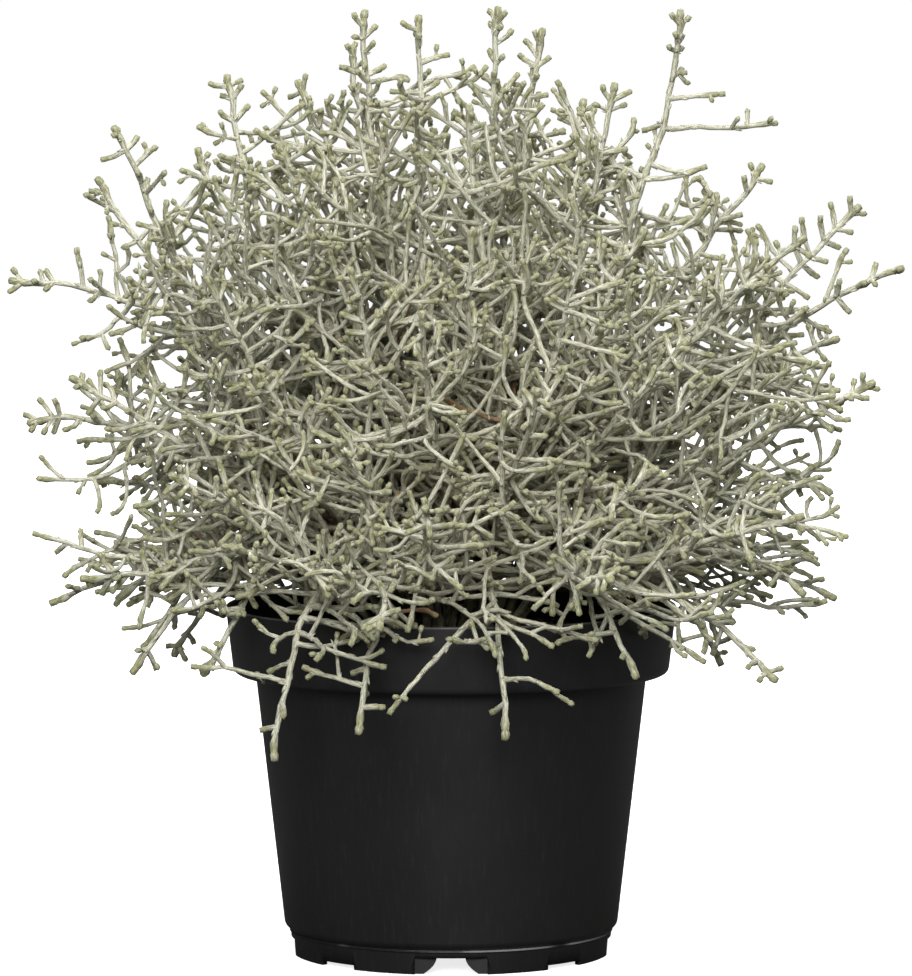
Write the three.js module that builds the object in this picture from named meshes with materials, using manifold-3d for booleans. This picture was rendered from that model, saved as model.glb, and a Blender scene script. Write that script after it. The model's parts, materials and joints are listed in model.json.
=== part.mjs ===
// Potted cushion bush: a dense round dome of thin, forking, felted stems in a moulded nursery pot.
// Millimetres, +Z up. The origin is on the pot's axis, at the level that its feet stand on, and the
// front is towards -Y.

import * as THREE from 'three';
import { mergeVertices } from 'three/addons/utils/BufferGeometryUtils.js';
import Module from 'manifold-3d';

const wasm = await Module();
wasm.setup();

// The pot, a thin moulded shell: a tapered body, a wider band under the rim and a notched foot ring.
// Radii are those of the outside.
const POT_HEIGHT = 93;
const RIM_RADIUS = 60;
const BAND_HEIGHT = 18;
const BAND_LOW_RADIUS = 57.9;
const BODY_TOP_RADIUS = 52.1;
const BODY_LOW_RADIUS = 44.4;
const WALL = 1.2;
const LEDGE_ROUND = 1.5;
const LIP_ROUND = 0.4;
const FOOT_RADIUS = 42.4;
const FOOT_HEIGHT = 6.5;
const FOOT_STEP = 1.2;
const FOOT_WALL = 1.8;
const FLOOR_UNDERSIDE = 4.6;
const FLOOR_THICKNESS = 1.6;
const POT_SIDES = 44;
const BODY_LOW = FOOT_HEIGHT + FOOT_STEP;
const LEDGE = POT_HEIGHT - BAND_HEIGHT;
const FLOOR_TOP = FLOOR_UNDERSIDE + FLOOR_THICKNESS;

// Notches in the foot ring: deep ones at the quarters, shallow ones between them.
const NOTCH_COUNT = 8;
const DEEP_NOTCH = { width: 19, height: 4.5 };
const SHALLOW_NOTCH = { width: 12, height: 1.3 };

// Drain holes through the pot's floor.
const DRAIN_COUNT = 8;
const DRAIN_RADIUS = 4;
const DRAIN_RING_RADIUS = 31;

// The compost, filled to a little under the rim, with a small gap to the pot all round.
const CLEARANCE = 0.3;
const SOIL_LEVEL = 84;
const SOIL_EDGE_DROP = 1.2;
const SOIL_RIPPLE = 0.35;
const SOIL_SIDES = 24;
const SOIL_RINGS = [11, 24, 36, 48];

// Stems. Each spray stands in its own hole near the middle of the compost. Girths are half widths.
const SPRAY_COUNT = 20;
const FEET_RADIUS = 21;
const ROOT_DEPTH = 8;
const HOLE_RADIUS = 2.8;
const COLLAR_HEIGHT = 2;
const FOOT_GIRTH = 1.6;
const LEADER_GIRTH = 1.0;
const TAPER_LENGTH = 150;
const TWIG_GIRTH = 0.9;
const CLUB_GIRTH = 1.15;
const CORNER_REACH = 1.2;
const STEM_GAP = 0.45;

// How tips are shared among the sprays.
const LEADERS_PER_SPRAY = 5;
const STRAY_LIMIT = 12;
const LEAN_SHARE = 1.15;

// How the leaders of a spray fork, arch over the rim and bend clear of their neighbours.
const FIRST_FORK = 0.13;
const FORK_STEP = 0.07;
const FORK_SHIFTS = [0, 0.03, -0.03];
const FORK_STUB = 8;
const FORK_COLLAR = 1.7;
const START_PULL = 0.3;
const TIP_PULL = 0.36;
const ARCH_SHARE = 0.62;
const ARCH_HEIGHT = 14;
const MOST_BENDS = 160;
const BEND_STEP = 0.012;
const LONGEST_STEP = 28;
const TEST_STRETCHES = 10;
const STATION_ROOM = 2.2 * FORK_COLLAR;
const STATION_LOWEST = 1.5 * FORK_STUB;
const START_LEAN = [0.2, 0.7];
const GOLDEN_TURN = Math.PI * (3 - Math.sqrt(5));

// The dome that the stem tips reach, round a centre above the compost.
const DOME_CENTRE = 92;
const DOME_REACH = 112;
const DOME_RISE = 140;

// Stem tips that stand out of the dome: x, y, z, and how many degrees the tip points above level.
const PROUD_TIPS = [
  [12, 2, 251, 88],
  [-9, -8, 249, 84],
  [24, 22, 245, 80],
  [5, -26, 226, 70],
  [-23, 14, 250, 88],
  [-27, 34, 241, 84],
  [-41, 20, 231, 52],
  [-59, 0, 234, 84],
  [-68, 18, 214, 76],
  [-45, -24, 216, 66],
  [36, 42, 226, 72],
  [43, -6, 231, 80],
  [61, 0, 251, 86],
  [84, 16, 209, 48],
  [-89, -4, 220, 64],
  [-95, 22, 205, 56],
  [109, 6, 199, 42],
  [119.5, 0, 182, 16],
  [92, -28, 192, 40],
  [105, 30, 162, 14],
  [111, -22, 154, 28],
  [101, 4, 122, -42],
  [92, -34, 99, -30],
  [103, 14, 93, 2],
  [84, -44, 78, -14],
  [-117, 0, 179, -2],
  [-99, -28, 155, 30],
  [-113, 6, 141, -12],
  [-95, 18, 124, -4],
  [-97, -30, 103, 2],
  [-83, -36, 78, -34],
  [-64, -52, 80, -26],
  [-45, -69, 60, -76],
  [-24, -76, 68, -48],
  [14, -74, 66, -62],
  [47, -63, 80, -30],
  [-6, -109, 128, 22],
  [8, 109, 132, 24],
  [-34, 72, 68, -52],
  [26, 76, 62, -62],
  [74, 46, 72, -36],
  [-76, 44, 74, -34],
  [64, 62, 96, -14],
  [-8, 94, 84, -24],
];

// Side branches that stand out too: the number of the proud tip, how far below it the branch
// leaves the leader, and where the branch ends.
const PROUD_BRANCHES = [
  [12, 31, 87, 4, 219],
  [12, 24, 71, -6, 229],
  [12, 30, 51, 6, 219],
  [7, 16, -47, 6, 218],
  [7, 18, -67, -4, 220],
  [14, 12, -78, 4, 214],
  [15, 10, -98, 12, 201],
  [1, 12, -1, -8, 239],
  [17, 22, 105, 2, 187],
  [25, 26, -96, -8, 180],
  [27, 24, -97, 14, 152],
  [6, 20, -51, 12, 228],
  [34, 36, -17, -90, 76],
  [34, 24, -1, -81, 93],
  [34, 16, 27, -83, 80],
  [35, 13, 26, -68, 91],
  [33, 12, -38, -68, 84],
  [24, 26, 66, -50, 85],
  [32, 30, -16, -75, 86],
  [32, 38, -20, -71, 92],
  [32, 20, -66, -55, 84],
  [35, 24, 66, -54, 84],
  [69, 30, -72, -33, 96],
  [74, 24, 54, -62, 93],
  [71, 44, 66, -58, 88],
];

// Further tips are spread evenly over the dome, where no proud tip is near.
const DOME_TIPS = 60;
const DOME_LOWEST = -0.06;
const DOME_DEPTH = 0.16;
const TIP_SPACING = 30;

// Side branches leave a leader singly or in loose pairs, at these distances from its tip. Ranges are
// given as the least value and what chance may add: how wide a branch opens, in radians, and how
// its length grows with its distance from the tip, where short ones are likelier. A hanging leader
// carries fewer pairs. A branch that finds no room is tried on the other sides, and then shorter.
const BRANCH_STARTS = [8, 19, 31, 45, 62, 82, 105];
const BRANCH_OPEN = [0.95, 0.55];
const BRANCH_SHARE = [0.1, 0.6];
const BRANCH_VEER = 0.45;
const BRANCH_BASE = 3;
const BRANCH_SHORTEST = 4.5;
const BRANCH_LONGEST = 40;
const BRANCH_COLLAR = 1.2;
const BRANCH_BOW = 0.14;
const PAIR_CHANCE = 0.8;
const DROOP_PAIR_CHANCE = 0.25;
const TWO_STEP_BRANCH = 19;
const MOST_TRIES = 12;
const RETRY_SHRINK = 0.17;
const UNTESTED_SHARE = 0.3;

const UP = new THREE.Vector3(0, 0, 1);

// Draws numbers between 0 and 1, always the same ones for the same seed.
function drawer(seed) {
  let state = (seed * 7919 + 104729) % 2147483647;
  return () => {
    state = (state * 16807) % 2147483647;
    return state / 2147483647;
  };
}

function clamp(value, low, high) {
  return Math.min(high, Math.max(low, value));
}

// A closed three.js geometry as a solid, with shared corners merged and flat triangles dropped.
function toSolid(geometry) {
  const bare = geometry.index ? geometry.clone() : geometry;
  bare.deleteAttribute('normal');
  bare.deleteAttribute('uv');
  const merged = mergeVertices(bare, 1e-4);
  const corners = merged.index.array;
  const kept = [];
  for (let i = 0; i < corners.length; i += 3) {
    const [a, b, c] = [corners[i], corners[i + 1], corners[i + 2]];
    if (a !== b && b !== c && c !== a) kept.push(a, b, c);
  }
  const mesh = new wasm.Mesh({
    numProp: 3,
    vertProperties: new Float32Array(merged.attributes.position.array),
    triVerts: new Uint32Array(kept),
  });
  return new wasm.Manifold(mesh);
}

function toGeometry(solid) {
  const mesh = solid.getMesh();
  const geometry = new THREE.BufferGeometry();
  geometry.setAttribute('position', new THREE.BufferAttribute(mesh.vertProperties, 3));
  geometry.setIndex(new THREE.BufferAttribute(mesh.triVerts, 1));
  geometry.computeVertexNormals();
  return geometry;
}

function turned(profile, sides) {
  const points = profile.map(([radius, height]) => new THREE.Vector2(radius, height));
  return new THREE.LatheGeometry(points, sides).rotateX(Math.PI / 2);
}

// The pot's outer radius at a height on its tapered body, and on its band.
function bodyRadius(height) {
  const share = (height - BODY_LOW) / (LEDGE - BODY_LOW);
  return BODY_LOW_RADIUS + (BODY_TOP_RADIUS - BODY_LOW_RADIUS) * share;
}

function bandRadius(height) {
  return BAND_LOW_RADIUS + (RIM_RADIUS - BAND_LOW_RADIUS) * ((height - LEDGE) / BAND_HEIGHT);
}

function makePot() {
  const ledgeTop = LEDGE + WALL;
  const innerFoot = bodyRadius(BODY_LOW) - WALL;
  const profile = [
    [0, FLOOR_UNDERSIDE],
    [FOOT_RADIUS - FOOT_WALL, FLOOR_UNDERSIDE],
    [FOOT_RADIUS - FOOT_WALL, 0],
    [FOOT_RADIUS, 0],
    [FOOT_RADIUS + LIP_ROUND, FOOT_HEIGHT],
    [BODY_LOW_RADIUS, BODY_LOW],
    [BODY_TOP_RADIUS, LEDGE],
    [BAND_LOW_RADIUS - LEDGE_ROUND, LEDGE],
    [BAND_LOW_RADIUS, LEDGE + LEDGE_ROUND],
    [RIM_RADIUS, POT_HEIGHT - 2 * LIP_ROUND],
    [RIM_RADIUS - LIP_ROUND, POT_HEIGHT],
    [RIM_RADIUS - WALL, POT_HEIGHT],
    [bandRadius(ledgeTop) - WALL, ledgeTop + LEDGE_ROUND / 2],
    [BAND_LOW_RADIUS - LEDGE_ROUND - WALL, ledgeTop],
    [BODY_TOP_RADIUS - WALL, ledgeTop],
    [innerFoot, BODY_LOW],
    [innerFoot - LEDGE_ROUND, FLOOR_TOP],
    [0, FLOOR_TOP],
  ];
  let pot = toSolid(turned(profile, POT_SIDES));
  for (let i = 0; i < NOTCH_COUNT; i += 1) {
    const notch = i % 2 === 0 ? DEEP_NOTCH : SHALLOW_NOTCH;
    const reach = 3 * FOOT_WALL;
    const block = new THREE.BoxGeometry(reach, notch.width, 2 * notch.height);
    block.translate(FOOT_RADIUS - FOOT_WALL / 2, 0, 0);
    block.rotateZ((i * 2 * Math.PI) / NOTCH_COUNT);
    pot = pot.subtract(toSolid(block));
  }
  for (let i = 0; i < DRAIN_COUNT; i += 1) {
    const drill = new THREE.CylinderGeometry(DRAIN_RADIUS, DRAIN_RADIUS, 4 * FLOOR_THICKNESS, 10);
    drill.rotateX(Math.PI / 2);
    drill.translate(DRAIN_RING_RADIUS, 0, FLOOR_UNDERSIDE);
    drill.rotateZ((i * 2 * Math.PI) / DRAIN_COUNT);
    pot = pot.subtract(toSolid(drill));
  }
  return pot;
}

// Where each spray stands: a sunflower pattern round the middle of the compost.
function sprayFoot(index) {
  const radius = FEET_RADIUS * Math.sqrt((index + 0.5) / SPRAY_COUNT);
  const angle = index * GOLDEN_TURN;
  return new THREE.Vector3(radius * Math.cos(angle), radius * Math.sin(angle), SOIL_LEVEL);
}

// The compost: its side keeps its gap to the pot, and its top is slightly uneven.
function makeSoil() {
  const bottom = FLOOR_TOP + CLEARANCE;
  const shoulder = LEDGE + WALL + 2 * CLEARANCE;
  const bandGap = WALL + 2 * CLEARANCE;
  const inner = bodyRadius(bottom + LEDGE_ROUND) - WALL - CLEARANCE;
  const edge = SOIL_LEVEL - SOIL_EDGE_DROP;
  const profile = [
    [0, bottom],
    [inner - 1.5 * LEDGE_ROUND, bottom],
    [inner, bottom + 1.5 * LEDGE_ROUND],
    [BODY_TOP_RADIUS - WALL - CLEARANCE, LEDGE + WALL],
    [BODY_TOP_RADIUS - WALL - CLEARANCE, shoulder],
    [BAND_LOW_RADIUS - LEDGE_ROUND - bandGap, shoulder],
    [bandRadius(shoulder) - bandGap, shoulder + LEDGE_ROUND],
    [bandRadius(edge) - bandGap, edge],
    ...SOIL_RINGS.toReversed().map((radius) => [radius, SOIL_LEVEL]),
    [0, SOIL_LEVEL],
  ];
  const lump = turned(profile, SOIL_SIDES);
  const spots = lump.attributes.position;
  for (let i = 0; i < spots.count; i += 1) {
    if (spots.getZ(i) <= (SOIL_LEVEL + edge) / 2) continue;
    const [x, y] = [spots.getX(i), spots.getY(i)];
    const ripple = Math.sin(0.31 * x + 1.3) * Math.cos(0.27 * y - 0.4) + Math.sin(0.13 * x - 0.19 * y);
    spots.setZ(i, SOIL_LEVEL + SOIL_RIPPLE * ripple);
  }
  let soil = toSolid(lump);
  for (let i = 0; i < SPRAY_COUNT; i += 1) {
    const foot = sprayFoot(i);
    const depth = ROOT_DEPTH + CLEARANCE;
    const drill = new THREE.CylinderGeometry(HOLE_RADIUS, HOLE_RADIUS, 2 * depth, 6);
    drill.rotateX(Math.PI / 2);
    drill.translate(foot.x, foot.y, SOIL_LEVEL);
    soil = soil.subtract(toSolid(drill));
  }
  return soil;
}

// Tips over the dome by a spiral of even spacing, kept where no earlier tip is near.
function allTips() {
  const tips = PROUD_TIPS.map(([x, y, z, pitch]) => ({ place: new THREE.Vector3(x, y, z), pitch }));
  const draw = drawer(11);
  for (let i = 0; i < DOME_TIPS; i += 1) {
    const rise = 1 - ((1 - DOME_LOWEST) * (i + 0.5)) / DOME_TIPS;
    const angle = i * GOLDEN_TURN + 0.6;
    const level = Math.sqrt(1 - rise * rise);
    const reach = 1 - DOME_DEPTH * draw();
    const place = new THREE.Vector3(
      DOME_REACH * reach * level * Math.cos(angle),
      DOME_REACH * reach * level * Math.sin(angle),
      DOME_CENTRE + DOME_RISE * reach * rise,
    );
    const pitch = 80 * rise + 8 * draw() - 6;
    if (tips.every((tip) => tip.place.distanceTo(place) > TIP_SPACING)) tips.push({ place, pitch });
  }
  return tips;
}

// How far a tip leans from above the pot's middle, 0, to level with the compost, 1.
function leanOf({ place: { x, y, z } }) {
  return Math.atan2(Math.hypot(x, y), Math.max(z - SOIL_LEVEL, 1)) / (Math.PI / 2);
}

// Gives each tip to the spray whose foot lies best under it.
function shareOut(tips) {
  const sprays = [];
  for (let i = 0; i < SPRAY_COUNT; i += 1) sprays.push({ foot: sprayFoot(i), tips: [] });
  for (const tip of tips) {
    const wished = tip.place.clone().setZ(0).setLength(FEET_RADIUS * Math.min(1, LEAN_SHARE * leanOf(tip)));
    wished.setZ(SOIL_LEVEL);
    const open = sprays.filter((spray) => spray.tips.length < LEADERS_PER_SPRAY);
    open.sort((a, b) => a.foot.distanceTo(wished) - b.foot.distanceTo(wished));
    if (open.length > 0 && open[0].foot.distanceTo(wished) < STRAY_LIMIT) open[0].tips.push(tip);
  }
  return sprays;
}

// Least distance between two straight stretches, each given by its two ends.
function stretchDistance(a, b, c, d) {
  const u = [b.x - a.x, b.y - a.y, b.z - a.z];
  const v = [d.x - c.x, d.y - c.y, d.z - c.z];
  const w = [a.x - c.x, a.y - c.y, a.z - c.z];
  const dot = (p, q) => p[0] * q[0] + p[1] * q[1] + p[2] * q[2];
  const [uu, uv, vv, uw, vw] = [dot(u, u), dot(u, v), dot(v, v), dot(u, w), dot(v, w)];
  const denominator = uu * vv - uv * uv;
  let s = denominator > 1e-9 ? clamp((uv * vw - vv * uw) / denominator, 0, 1) : 0;
  const t = clamp((uv * s + vw) / vv, 0, 1);
  s = clamp((uv * t - uw) / uu, 0, 1);
  return Math.hypot(w[0] + s * u[0] - t * v[0], w[1] + s * u[1] - t * v[1], w[2] + s * u[2] - t * v[2]);
}

// True where a stem point is above the compost and the rim, or outside the pot.
function clearOfPot(point, girth) {
  const flat = Math.hypot(point.x, point.y);
  if (flat - girth > RIM_RADIUS + 2 * CLEARANCE) return true;
  const nearWall = clamp((flat + girth - BODY_LOW_RADIUS) / (RIM_RADIUS - BODY_LOW_RADIUS - 4), 0, 1);
  const floor = SOIL_LEVEL + 3 * SOIL_RIPPLE + (POT_HEIGHT - SOIL_LEVEL) * nearWall;
  return point.z - girth > floor + CLEARANCE;
}

// Every stretch of stem placed so far, as { a, b, girth, spray, leader }.
const placed = [];

// True where a run of points keeps clear of the pot, the compost and the stems that mustTest names.
// Girths count out to the corners of a stem's flat sides.
function isClear(points, girth, foot, mustTest) {
  const reach = CORNER_REACH * girth;
  for (let i = 0; i + 1 < points.length; i += 1) {
    const [a, b] = [points[i], points[i + 1]];
    for (const share of [0.25, 0.5, 0.75, 1]) {
      const spot = a.clone().lerp(b, share);
      const inHole = Math.hypot(spot.x - foot.x, spot.y - foot.y) < HOLE_RADIUS / 2;
      if (!inHole && !clearOfPot(spot, reach)) return false;
    }
    for (const other of placed) {
      if (!mustTest(other)) continue;
      const room = reach + CORNER_REACH * other.girth + STEM_GAP;
      if (stretchDistance(a, b, other.a, other.b) < room) return false;
    }
  }
  return true;
}

function place(points, girth, spray, leader) {
  for (let i = 0; i + 1 < points.length; i += 1) {
    placed.push({ a: points[i], b: points[i + 1], girth, spray, leader });
  }
}

// A leader's half width, by its distance from the tip.
function leaderGirth(fromTip) {
  return LEADER_GIRTH + (FOOT_GIRTH - LEADER_GIRTH) * clamp(fromTip / TAPER_LENGTH, 0, 1);
}

// One leader: a curve from where it starts to its tip, bent clear of everything else.
function growLeader(spray, tip, start, startWay) {
  const way = new THREE.Vector3(tip.place.x - spray.foot.x, tip.place.y - spray.foot.y, 0).normalize();
  const pitch = THREE.MathUtils.degToRad(tip.pitch);
  const tipWay = way.clone().multiplyScalar(Math.cos(pitch)).addScaledVector(UP, Math.sin(pitch));
  const span = start.distanceTo(tip.place);
  const arch = ARCH_SHARE * Math.max(0, POT_HEIGHT + ARCH_HEIGHT - tip.place.z);
  const across = new THREE.Vector3().crossVectors(UP, way);
  for (let bend = 0; bend < MOST_BENDS; bend += 1) {
    const size = BEND_STEP * Math.sqrt(bend) * span;
    const turn = bend * GOLDEN_TURN;
    const shift = across.clone().multiplyScalar(size * Math.cos(turn));
    shift.addScaledVector(UP, size * Math.sin(turn));
    const first = start.clone().addScaledVector(startWay, START_PULL * span).addScaledVector(UP, arch);
    const second = tip.place.clone().addScaledVector(tipWay, -TIP_PULL * span).addScaledVector(UP, arch);
    first.add(shift);
    second.sub(shift);
    const curve = new THREE.CubicBezierCurve3(start, first, second, tip.place);
    const length = curve.getLength();
    const points = curve.getSpacedPoints(TEST_STRETCHES);
    const outer = [curve.getPointAt(FORK_STUB / length), ...points.slice(1)];
    const stub = [start, outer[0]];
    const girth = leaderGirth(length / 2);
    if (!isClear(stub, girth, spray.foot, (other) => other.spray !== spray)) continue;
    if (!isClear(outer, girth, spray.foot, () => true)) continue;
    const firstRing = spray.leaders.length ? FORK_STUB / 2 : 0;
    const leader = { curve, span: length, tip, firstRing, stations: [] };
    place(points, girth, spray, leader);
    return leader;
  }
  return null;
}

// The frame across a leader at a share of its length: the way ahead and two ways across it,
// turned by the leader's own twist.
function frameAt(leader, share) {
  const ahead = leader.curve.getTangentAt(share);
  const side = new THREE.Vector3(0.31, 0.78, 0.54).cross(ahead).normalize();
  side.applyAxisAngle(ahead, leader.twist);
  return { place: leader.curve.getPointAt(share), ahead, side, other: ahead.clone().cross(side) };
}

// The way out of one of a leader's four flat sides.
function sideWay(frame, face) {
  const turn = ((face + 0.5) * Math.PI) / 2;
  return frame.side.clone().multiplyScalar(Math.cos(turn)).addScaledVector(frame.other, Math.sin(turn));
}

// The stretch of a leader that a branch or a further leader grows from.
function stationAt(leader, fromTip, collar) {
  let station = leader.stations.find((other) => other.fromTip === fromTip);
  if (!station) {
    station = { fromTip, collar, grown: [] };
    leader.stations.push(station);
  }
  return station;
}

function isStationFree(leader, fromTip) {
  const apart = leader.stations.every((other) => Math.abs(other.fromTip - fromTip) > STATION_ROOM);
  return apart && fromTip < leader.span - STATION_LOWEST;
}

function tryBranch(spray, leader, fromTip, face, aim, reach) {
  const share = 1 - fromTip / leader.span;
  const root = leader.curve.getPointAt(share);
  const points = [root, root.clone().addScaledVector(aim, reach)];
  if (reach > TWO_STEP_BRANCH) {
    const bowed = aim.clone().addScaledVector(leader.curve.getTangentAt(share), BRANCH_BOW).normalize();
    points[1] = root.clone().addScaledVector(aim, reach / 2);
    points.push(points[1].clone().addScaledVector(bowed, reach / 2));
  }
  const outer = [root.clone().lerp(points[1], UNTESTED_SHARE), ...points.slice(1)];
  const apart = (other) => other.leader !== leader || (other.branch && other.fromTip !== fromTip);
  if (!isClear(outer, CLUB_GIRTH, spray.foot, apart)) return false;
  stationAt(leader, fromTip, BRANCH_COLLAR).grown.push({ face, points });
  place(outer, CLUB_GIRTH, spray, leader);
  for (const stretch of placed.slice(1 - outer.length)) Object.assign(stretch, { branch: true, fromTip });
  return true;
}

// A branch to a chosen end, from the side of the leader that faces it.
function growProudBranch(spray, leader, fromTip, end) {
  const frame = frameAt(leader, 1 - fromTip / leader.span);
  const aim = end.clone().sub(frame.place);
  const faces = [0, 1, 2, 3].sort((a, b) => sideWay(frame, b).dot(aim) - sideWay(frame, a).dot(aim));
  const taken = stationAt(leader, fromTip, BRANCH_COLLAR).grown.map((branch) => branch.face);
  const face = faces.find((choice) => !taken.includes(choice));
  return tryBranch(spray, leader, fromTip, face, aim.clone().normalize(), aim.length());
}

// Side branches of a leader, singly or in loose pairs round it, shorter towards its tip.
function growBranches(spray, leader, draw) {
  for (const start of BRANCH_STARTS) {
    const fromTip = start + 3 * draw() - 1.5;
    const first = Math.floor(4 * draw());
    const plans = [0, 2].map((turn) => ({
      turn,
      open: BRANCH_OPEN[0] + BRANCH_OPEN[1] * draw(),
      share: BRANCH_SHARE[0] + BRANCH_SHARE[1] * draw() ** 2,
      veer: BRANCH_VEER * (2 * draw() - 1),
    }));
    const pairChance = leader.tip.pitch < 0 ? DROOP_PAIR_CHANCE : PAIR_CHANCE;
    if (draw() > pairChance) plans.pop();
    if (!isStationFree(leader, fromTip)) continue;
    const frame = frameAt(leader, 1 - fromTip / leader.span);
    const taken = [];
    for (const { turn, open, share, veer } of plans) {
      const length = clamp(BRANCH_BASE + fromTip * share, BRANCH_SHORTEST, BRANCH_LONGEST);
      for (let attempt = 0; attempt < MOST_TRIES; attempt += 1) {
        const face = (first + turn + attempt) % 4;
        const reach = length * (1 - RETRY_SHRINK * Math.floor(attempt / 4));
        const out = sideWay(frame, face).applyAxisAngle(frame.ahead, veer);
        const aim = frame.ahead.clone().multiplyScalar(Math.cos(open)).addScaledVector(out, Math.sin(open));
        if (taken.includes(face) || !tryBranch(spray, leader, fromTip, face, aim, reach)) continue;
        taken.push(face);
        break;
      }
    }
  }
}

// A spray as one closed skin. Every branch grows out of a flat side of its leader, between a ring
// just below it and a ring just above it, and every further leader does so from the main one.
function sprayGeometry(spray) {
  const corners = [];
  const faces = [];

  function addRing(centre, girth, side, other, sides) {
    for (let k = 0; k < sides; k += 1) {
      const turn = (k * 2 * Math.PI) / sides;
      const spot = centre.clone().addScaledVector(side, CORNER_REACH * girth * Math.cos(turn));
      corners.push(spot.addScaledVector(other, CORNER_REACH * girth * Math.sin(turn)));
    }
    return corners.length - sides;
  }

  function addBand([a, b, c, d]) {
    faces.push(a, b, c, a, c, d);
  }

  // A three-sided branch from a four-cornered base.
  function addBranch([a, b, c, d], ahead, points) {
    const aim = points[1].clone().sub(points[0]).normalize();
    const low = ahead.clone().negate().addScaledVector(aim, ahead.dot(aim)).normalize();
    const across = new THREE.Vector3().crossVectors(aim, low);
    const girths = points.length > 2 ? [TWIG_GIRTH, CLUB_GIRTH] : [CLUB_GIRTH];
    let ring = addRing(points[1], girths[0], low, across, 3);
    const [l, p, q] = [ring, ring + 1, ring + 2];
    faces.push(a, b, l, p, l, b, b, c, p, q, p, c, c, d, q, d, a, q, l, q, a);
    if (points.length > 2) {
      const end = addRing(points[2], girths[1], low, across, 3);
      for (let k = 0; k < 3; k += 1) {
        const next = (k + 1) % 3;
        addBand([ring + k, ring + next, end + next, end + k]);
      }
      ring = end;
    }
    faces.push(ring, ring + 1, ring + 2);
  }

  // A leader from a base of four corners up to its tip, with all that grows from it.
  function addLeader(leader, base) {
    const levels = [{ fromTip: leader.span - leader.firstRing, grown: [] }, { fromTip: 0, grown: [] }];
    for (const { fromTip, collar, grown } of leader.stations) {
      levels.push({ fromTip: fromTip + collar, grown: [] }, { fromTip: fromTip - collar, grown });
    }
    levels.sort((a, b) => b.fromTip - a.fromTip);
    for (let i = levels.length - 1; i > 0; i -= 1) {
      const gap = levels[i - 1].fromTip - levels[i].fromTip;
      if (gap > LONGEST_STEP) levels.splice(i, 0, { fromTip: levels[i].fromTip + gap / 2, grown: [] });
    }
    let before = base;
    for (const { fromTip, grown } of levels) {
      const frame = frameAt(leader, 1 - fromTip / leader.span);
      const start = addRing(frame.place, leaderGirth(fromTip), frame.side, frame.other, 4);
      const ring = [start, start + 1, start + 2, start + 3];
      for (let k = 0; k < 4; k += 1) {
        const next = (k + 1) % 4;
        const band = [before[k], before[next], ring[next], ring[k]];
        const shoot = grown.find((one) => one.face === k);
        if (!shoot) addBand(band);
        else if (shoot.leader) addLeader(shoot.leader, lowestFirst(band, shoot.leader));
        else addBranch(band, frame.ahead, shoot.points);
      }
      before = ring;
    }
    addBand(before);
  }

  // The same four corners, started from the one that the leader's first ring has first.
  function lowestFirst(band, leader) {
    const frame = frameAt(leader, leader.firstRing / leader.span);
    const scores = band.map((corner) => corners[corner].clone().sub(frame.place).dot(frame.side));
    const first = scores.indexOf(Math.max(...scores));
    return [0, 1, 2, 3].map((k) => band[(first + k) % 4]);
  }

  const main = spray.leaders[0];
  const seat = spray.foot.clone().addScaledVector(UP, -ROOT_DEPTH);
  const level = frameAt(main, 0).side.setZ(0).normalize();
  const bottom = addRing(seat, FOOT_GIRTH, level, new THREE.Vector3().crossVectors(UP, level), 4);
  addBand([bottom, bottom + 3, bottom + 2, bottom + 1]);
  addLeader(main, [bottom, bottom + 1, bottom + 2, bottom + 3]);
  const geometry = new THREE.BufferGeometry().setFromPoints(corners);
  geometry.setIndex(faces);
  geometry.computeVertexNormals();
  return geometry;
}

// A further leader from the side of the main one that faces its tip best.
function forkLeader(spray, tip, wishedFork) {
  const main = spray.leaders[0];
  for (const shift of FORK_SHIFTS) {
    const fork = wishedFork + shift;
    const frame = frameAt(main, fork);
    const aim = tip.place.clone().sub(frame.place).normalize();
    const faces = [0, 1, 2, 3].sort((a, b) => sideWay(frame, b).dot(aim) - sideWay(frame, a).dot(aim));
    if (!isStationFree(main, main.span * (1 - fork))) continue;
    for (const face of faces.slice(0, 3)) {
      const startWay = frame.ahead.clone().add(sideWay(frame, face)).normalize();
      const leader = growLeader(spray, tip, frame.place, startWay);
      if (!leader) continue;
      stationAt(main, main.span * (1 - fork), FORK_COLLAR).grown.push({ face, leader });
      return leader;
    }
  }
  return null;
}

// A spray's leaders: a main one from its hole, and further ones that fork low from it.
function growSpray(spray, draw) {
  spray.leaders = [];
  for (const tip of spray.tips) {
    const count = spray.leaders.length;
    const collar = spray.foot.clone().addScaledVector(UP, COLLAR_HEIGHT);
    const out = tip.place.clone().setZ(0).setLength(START_LEAN[0] + START_LEAN[1] * leanOf(tip));
    const fork = FIRST_FORK + FORK_STEP * (count - 1);
    const startWay = UP.clone().add(out).normalize();
    const leader = count ? forkLeader(spray, tip, fork) : growLeader(spray, tip, collar, startWay);
    if (!leader) continue;
    leader.twist = 2 * Math.PI * draw();
    spray.leaders.push(leader);
  }
}

function growSprayBranches(spray, proudTips, draw) {
  for (const leader of spray.leaders) {
    for (const [number, fromTip, x, y, z] of PROUD_BRANCHES) {
      if (leader.tip !== proudTips[number]) continue;
      growProudBranch(spray, leader, fromTip, new THREE.Vector3(x, y, z));
    }
    growBranches(spray, leader, draw);
  }
}

const BLACK_PLASTIC = new THREE.MeshStandardMaterial({ color: 0x1b1b1c, roughness: 0.42, metalness: 0 });
const DARK_COMPOST = new THREE.MeshStandardMaterial({ color: 0x2a2019, roughness: 0.95, metalness: 0 });
const SILVER_FELT = new THREE.MeshStandardMaterial({ color: 0xbdbda9, roughness: 0.85, metalness: 0 });

function named(name, geometry, material) {
  const mesh = new THREE.Mesh(geometry, material);
  mesh.name = name;
  return mesh;
}

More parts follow.
